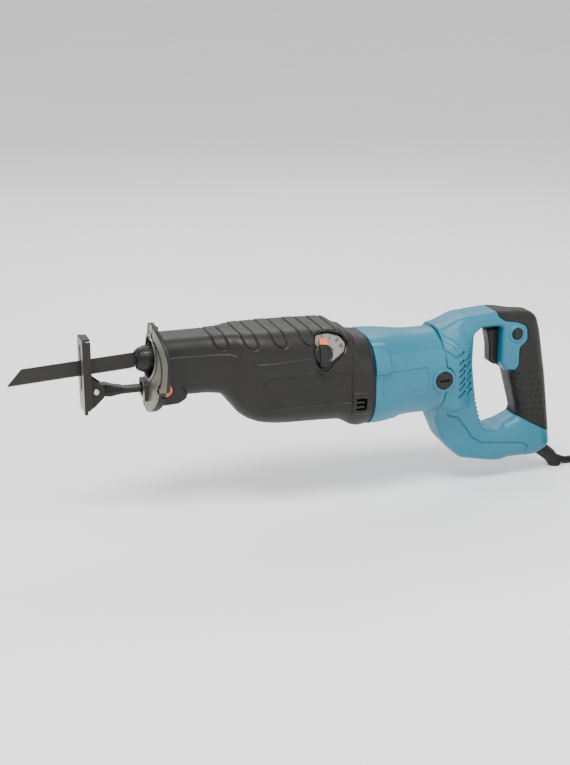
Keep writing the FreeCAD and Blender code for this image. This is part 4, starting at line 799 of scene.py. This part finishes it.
carve("shoe_rivet", rivet_shape, (-52, -12, -26), (-42, 12, -17), 0.35, STEEL, "shoe", ["shoe_pin"],
      "steel")


def stem_shape(x, y, z):
    side = np.abs(y)
    bar = rounded(stem_at(x, z), side - 6.45, 0.9)
    eye = rounded(np.hypot(x - SHOE_PIN[0], z - SHOE_PIN[1]) - 6.2, side - 6.45, 0.8)
    d = blend_min(bar, eye, 1.5)
    notch = inside(np.abs(np.mod(x + 6.0, 10.0) - 7.0) - 2.0, 0.4)
    d = d + 1.4 * notch * inside(slab(x, -2, 34), 0.3) * step(side, 4.6, 5.2)
    rail = near(z + 24.3, 1.5, 0.5) * inside(slab(x, -38, -8), 1.0)
    d = d + 1.1 * rail * step(side, 5.2, 5.8)
    pits = inside(np.hypot(np.mod(x + 42.0, 7.5) - 3.75, (z + 18.6) * 0.9) - 1.9, 0.6)
    d = d + 0.8 * pits * inside(slab(x, -42, -19), 0.6) * step(side, 5.2, 5.8)
    return np.maximum(d, 2.6 - np.hypot(x - SHOE_PIN[0], z - SHOE_PIN[1]))


carve("shoe_bar", stem_shape, (-54, -7, -30), (79, 7, -14), 0.5, FORGED, "shoe_stem", ["shoe_stem"],
      "dark_steel")


# ---- blade clamp and blade --------------------------------------------------------------------
TILT = math.radians(2.5)


def in_plunger(x, z):
    """Along the plunger's axis from above the origin, and up from it."""
    dz = z - 5.44
    return x * math.cos(TILT) + dz * math.sin(TILT), dz * math.cos(TILT) - x * math.sin(TILT)


def sleeve_shape(x, y, z):
    along, up = in_plunger(x, z)
    r = np.hypot(y, up)
    outer = through(along, [-4, 0, 7, 18], [10.4, 12.3, 14.0, 14.0])
    angle = np.arctan2(up, y)
    flute = np.abs(np.mod(angle / (math.pi / 4) + 0.5, 1) - 0.5) * (math.pi / 4) * 14
    groove = rounded(flute - 2.0, slab(along, 2.5, 13.5), 1.9)
    d = r - outer + 0.75 * inside(groove, 0.8)
    d = d + 0.5 * near(along - 15.6, 0.5, 0.4)
    d = rounded(d, slab(along, -4.0, 18.0), 0.9)
    return np.maximum(d, 9.3 - r)


carve("clamp_collar", sleeve_shape, (-6, -15, -11), (20, 15, 21), 0.45, BLACK, "clamp_sleeve",
      ["clamp_sleeve"], "clamp_dark")

BLADE_LENGTH = 128.5
TOOTH = 2.54


def blade_mesh():
    """Parallel blade, raked tip, teeth set to left and right in turn, tang in the clamp."""
    half, thick = 8.25, 0.625
    outline = [(9.0, 4.5), (0.0, 4.5), (0.0, half), (15.5 - BLADE_LENGTH, half),
               (-BLADE_LENGTH, 1.2 - half)]
    teeth = int((BLADE_LENGTH - 4.0) / TOOTH)
    gullets = [(2.0 - BLADE_LENGTH + TOOTH * (k + 0.35), 1.2 - half) for k in range(teeth)]
    outline += gullets + [(0.0, 1.2 - half), (0.0, -4.5), (9.0, -4.5)]
    count = len(outline)
    points = [(u, -thick, v) for u, v in outline] + [(u, thick, v) for u, v in outline]
    faces = [list(range(count)), list(range(2 * count - 1, count - 1, -1))]
    faces += [[k, k + count, (k + 1) % count + count, (k + 1) % count] for k in range(count)]
    for k in range(teeth):
        root_a, root_b = gullets[k - 1] if k else (-BLADE_LENGTH, 1.2 - half), gullets[k]
        lean = 0.3 * (-1) ** k
        first = len(points)
        for u, v in (root_a, root_b):
            points += [(u, -thick, v), (u, thick, v)]
        tip = 2.0 - BLADE_LENGTH + TOOTH * k
        points += [(tip, lean - 0.4, -half), (tip, lean + 0.4, -half)]
        a, b, c, d, e, f = range(first, first + 6)
        faces += [[a, c, e], [b, f, d], [c, d, f, e], [a, e, f, b]]
    droop = TILT + math.radians(0.9)
    c, s = math.cos(droop), math.sin(droop)
    turned = [(-5.5 + u * c - v * s, w, 5.2 + u * s + v * c) for u, w, v in points]
    return np.array(turned), faces


add_mesh("saw_blade", *blade_mesh(), BLADE, "plunger", ["blade"], "blade_steel")


# ---- orbital dial -----------------------------------------------------------------------------
KNOB_TURN = math.radians(-6)


def knob_turned(x, y, z):
    u, v, w = in_dial(x, y, z)
    c, s = math.cos(KNOB_TURN), math.sin(KNOB_TURN)
    return u * c + v * s, v * c - u * s, w


def cup_shape(x, y, z):
    u, v, w = in_dial(x, y, z)
    well = recess_at(u, v)
    floor = rounded(well + 0.15, slab(w, -3.1, -0.72), 0.3)
    return np.maximum(floor, 5.0 - np.hypot(u, v))


carve("dial_floor", cup_shape, (168, -48, -17), (212, -24, 28), 0.6, BLACK, "housing", ["dial_base"],
      "black_plastic")
plate_at = outline_of([(-7.0, 12.5), (-5.4, 20.6), (8.0, 21.6), (20.4, 17.6), (26.2, 9.4), (23.4, 0.6),
                       (9.5, -8.0), (2.0, -8.0)], [2, 3, 12, 8, 4, 4, 1, 1], 8, 0.2)


def plate_shape(x, y, z):
    u, v, w = in_dial(x, y, z)
    d = rounded(plate_at(u, v) + 0.25, slab(w, -0.72, 0.0), 0.15)
    return np.maximum(d, 8.2 - np.hypot(u, v))


carve("dial_quadrant", plate_shape, (174, -46, -6), (211, -26, 26), 0.32, SILVER, "housing",
      ["dial_plate"], "dial_silver")


def knob_shape(x, y, z):
    p, q, w = knob_turned(x, y, z)
    r = np.hypot(p, q)
    disc = rounded(r - 10.3, slab(w, 0.3, 3.3), 0.8)
    disc = disc + 0.35 * near(r - 8.6, 0.5, 0.35)
    waist = 4.6 - 0.5 * np.cos(q / 22 * math.pi)
    grip = rounded(rounded(np.abs(p) - waist, slab(q, -13.4, 9.3), 3.0),
                   slab(w, 0.3, 5.6 - 0.006 * (q + 2) ** 2), 1.3)
    stem = np.maximum(r - 3.9, slab(w, -8.2, 1.0))
    d = np.minimum(blend_min(disc, grip, 0.8), stem)
    return np.maximum(d, q - 9.4)


carve("dial_knob", knob_shape, (170, -50, -14), (196, -26, 18), 0.4, BLACK, "orbit_lever",
      ["orbit_lever"], "black_plastic")


def pointer_shape(x, y, z):
    p, q, w = knob_turned(x, y, z)
    half = through(q, [9, 14, 17], [4.2, 4.2, 3.4])
    top = through(q, [9, 12, 17], [4.9, 4.7, 2.2])
    return rounded(rounded(np.abs(p) - half, slab(q, 9.5, 16.8), 0.8), slab(w, 0.9, top), 0.6)


carve("dial_pointer", pointer_shape, (176, -46, 10), (192, -28, 24), 0.3, ORANGE, "orbit_lever",
      ["lever_pointer"], "orange_plastic")


def dial_point(u, v, w):
    c, s = math.cos(DIAL_LEAN), math.sin(DIAL_LEAN)
    return DIAL[0] + u, DIAL[1] + v * s - w * c, DIAL[2] + v * c + w * s


def mark_mesh():
    """Raised print: a ring for nought and one, two and three strokes, each set square to the dial."""
    points, faces = [], []

    def prism(ring):
        first, n = len(points), len(ring)
        for w in (-0.05, 0.12):
            points.extend(dial_point(u, v, w) for u, v in ring)
        faces.append([first + n + k for k in range(n)])
        faces.extend([first + k, first + (k + 1) % n, first + n + (k + 1) % n, first + n + k]
                     for k in range(n))

    def stroke(middle, turn, along, across, half_u, half_v):
        c, s = math.cos(turn), math.sin(turn)
        corners = [(across + a * half_u, along + b * half_v)
                   for a, b in ((-1, -1), (1, -1), (1, 1), (-1, 1))]
        prism([(middle[0] + p * c - q * s, middle[1] + p * s + q * c) for p, q in corners])

    for k in range(20):
        a, b = 2 * math.pi * k / 20, 2 * math.pi * (k + 1) / 20
        prism([(1.4 + r * 0.8 * math.cos(t), 18.6 + r * math.sin(t))
               for r, t in ((1.1, a), (1.75, a), (1.75, b), (1.1, b))])
    for middle, turn, count in (((10.0, 17.3), -0.42, 1), ((17.0, 13.4), -0.78, 2),
                                ((20.8, 7.4), -1.1, 3)):
        for k in range(count):
            stroke(middle, turn, 0.0, 1.25 * (k - (count - 1) / 2), 0.36, 1.7)
        for end in (-1.7, 1.7):
            stroke(middle, turn, end, 0.0, 0.62 * count + 0.35, 0.22)
    for u, v in ((9.0, 6.3), (10.4, 5.2), (11.9, 4.1)):
        stroke((u, v), -0.65, 0.0, 0.0, 0.9, 0.55)
    prism([(6.0, 8.6), (7.0, 4.2), (9.8, 8.0)])
    return np.array(points), faces


add_mesh("dial_marks", *mark_mesh(), INK, slot="black_plastic")


# ---- trigger, buttons, caps, strain relief, screws --------------------------------------------
trigger_at = outline_of([(384.6, 4.6), (418, 4.6), (418, -36.5), (395.0, -36.5), (389.6, -33.0),
                         (388.6, -14.0)], [3, 1, 1, 4, 4, 30], 12, 0.3)


def trigger_shape(x, y, z):
    side = np.abs(y)
    d = rounded(trigger_at(x, z), side - 7.9, 2.4)
    ribs = near(np.mod(z, 4.0) - 2.0, 0.5, 0.35) * inside(slab(z, -30, -2), 0.5)
    return d + 0.35 * ribs * (1 - step(x, 389, 392))


carve("trigger_lever", trigger_shape, (384, -9, -37), (419, 9, 5.5), 0.5, BLACK, "trigger", ["trigger"],
      "black_plastic")


def lock_on_shape(x, y, z):
    r = np.hypot(x - LOCK_ON[0], z - LOCK_ON[1])
    crown = -24.0 + 0.02 * r * r
    d = rounded(r - 6.0, np.maximum(crown - y, y + 13.0), 0.9)
    return d + 0.4 * near(r - 4.2, 0.4, 0.3) * (y < -20)


carve("lock_on_cap", lock_on_shape, (408, -25, -6), (421, -12, 7), 0.4, BLACK, "lock_on_button",
      ["lock_on_button"], "black_plastic")


def brush_cap_shape(x, y, z):
    side = np.abs(y)
    r = np.hypot(x - BRUSH_X, z - MOTOR_Z)
    d = rounded(r - 9.55, slab(side, 41.1, 48.4), 0.8)
    d = d + 0.5 * near(r - 7.9, 0.45, 0.35) * (side > 45)
    slot = rounded(np.abs(x - BRUSH_X) - 5.6, np.abs(z - MOTOR_Z) - 1.2, 0.4)
    return np.maximum(d, -np.maximum(slot, 46.2 - side))


carve("brush_covers", brush_cap_shape, (306, -49, -46), (328, 49, -24), 0.5, BLACK, "housing",
      ["brush_caps"], "black_plastic")


def lock_button_shape(x, y, z):
    r = np.hypot(x - BUTTON[0], z - BUTTON[1])
    head = rounded(r - 7.0, np.maximum(-31.5 + 0.018 * r * r - y, y + 26.6), 1.3)
    head = head + 0.3 * near(r - 4.6, 0.4, 0.3) * (y < -29)
    return np.minimum(head, np.maximum(r - 3.0, slab(y, -27.5, -11.0)))


carve("shoe_release", lock_button_shape, (12, -32, -28), (27, -10, -13), 0.4, RED, "shoe_lock_button",
      ["shoe_lock_button"], "red_plastic")


def relief_shape(x, y, z):
    along, off = along_guard(x, z)
    bend = math.radians(14)
    past = along - 26.0
    bent_along = past * math.cos(bend) - off * math.sin(bend)
    bent_off = past * math.sin(bend) + off * math.cos(bend)
    straight = np.hypot(off, y)
    after = np.hypot(bent_off, y)
    groove = 0.35 * near(np.mod(along - 4.0, 4.2) - 2.1, 0.75, 0.5)
    groove = groove * step(along, 13, 15) * (1 - step(along, 26, 27))
    late = 0.35 * near(np.mod(bent_along + 0.3, 4.2) - 2.1, 0.75, 0.5)
    first = np.maximum(straight - (8.2 - 0.023 * along) + groove, slab(along, 0.0, 26.0))
    second = np.maximum(after - (7.6 - 0.026 * bent_along) + late, slab(bent_along, -1.0, 15.4))
    d = blend_min(first, second, 1.0)
    flange = rounded(straight - 10.5, slab(along, 1.0, 3.5), 0.4)
    bore = np.maximum(after - 4.0, 5.0 - bent_along)
    return np.maximum(np.minimum(d, flange), -bore)


carve("cord_relief", relief_shape, (446, -12, -171), (494, 12, -128), 0.5, CORD_SKIN, "housing",
      ["cord_guard"], "cord_rubber")


def screw_shape(x, y, z):
    best = np.full(x.shape, 1e3)
    for sx, sz in SCREWS:
        u, v = x - sx, z - sz
        r = np.hypot(u, v)
        head = rounded(r - 3.2, np.maximum(15.0 - y, y - 17.0 + 0.05 * r * r), 0.5)
        u, v = np.abs(u), np.abs(v)
        cross = np.minimum(np.maximum(u - 0.5, v - 1.9), np.maximum(v - 0.5, u - 1.9))
        head = np.maximum(head, -np.maximum(cross, 15.8 - y))
        best = np.minimum(best, np.minimum(head, np.maximum(r - 1.65, slab(y, -9.5, 15.5))))
    return best


carve("shell_screws", screw_shape, (340, -10, -140), (452, 18, 18), 0.45, STEEL, "housing",
      ["handle_screws"], "screw_steel")


# ---- CAD nodes that stay ----------------------------------------------------------------------
KEPT = {
    "gear_housing": CAST, "crank_cap": CAST, "cap_screws": STEEL, "guide_pivot_pins": STEEL,
    "crank_bearings": STEEL, "front_bearing": STEEL, "rear_bearing": STEEL, "stator": LAMINATION,
    "air_baffle": BLACK, "case_screws": STEEL, "brush_holders": BRASS, "carbon_brushes": CARBON,
    "brush_springs": STEEL, "switch_body": BLACK, "cord_clamp": BLACK, "plunger_guide": STEEL,
    "guide_bushings": BRONZE, "dust_seal": GRIP, "plunger": STEEL, "clamp_holder": FORGED,
    "clamp_cross_pin": STEEL, "crank_gear": STEEL, "crank_shaft": STEEL, "crank_pin": STEEL,
    "crank_roller": STEEL, "armature_shaft": STEEL, "drive_pinion": STEEL, "armature_core": LAMINATION,
    "commutator": COPPER, "cooling_fan": BLACK, "cam_pin": STEEL,
}
for node, material in KEPT.items():
    for slot_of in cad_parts[node].material_slots:
        slot_of.material = material


# ---- floor and light --------------------------------------------------------------------------
floor_mesh = bpy.data.meshes.new("floor")
floor_mesh.from_pydata([(-45, -45, 0), (45, -45, 0), (45, 45, 0), (-45, 45, 0)], [], [(0, 1, 2, 3)])
floor = new_object("floor", floor_mesh)
floor_mesh.materials.append(finish_of("pale_floor", (0.90, 0.90, 0.90), (0.93, 0.93, 0.93), (0.6, 0.8),
                                      grain=0.2, depth=0.005, broad=0.002, specular=0.15))

world = bpy.data.worlds.new("studio")
bpy.context.scene.world = world
world.use_nodes = True
world.node_tree.nodes["Background"].inputs["Color"].default_value = (1, 1, 1, 1)
world.node_tree.nodes["Background"].inputs["Strength"].default_value = 0.95


def soft_light(name, place_of, power, size):
    data = bpy.data.lights.new(name, "AREA")
    data.energy = power
    data.shape = "RECTANGLE"
    data.size, data.size_y = size
    lamp = new_object(name, data)
    lamp.location = place_of
    lamp.rotation_mode = "QUATERNION"
    lamp.rotation_quaternion = (Vector(place_of) - AIM).to_track_quat("Z", "Y")


soft_light("key", (-0.35, -0.9, 2.1), 62, (1.1, 0.8))
soft_light("fill", (1.4, -1.6, 0.9), 10, (1.2, 1.2))
soft_light("rim", (0.2, 1.4, 1.5), 18, (1.6, 0.6))
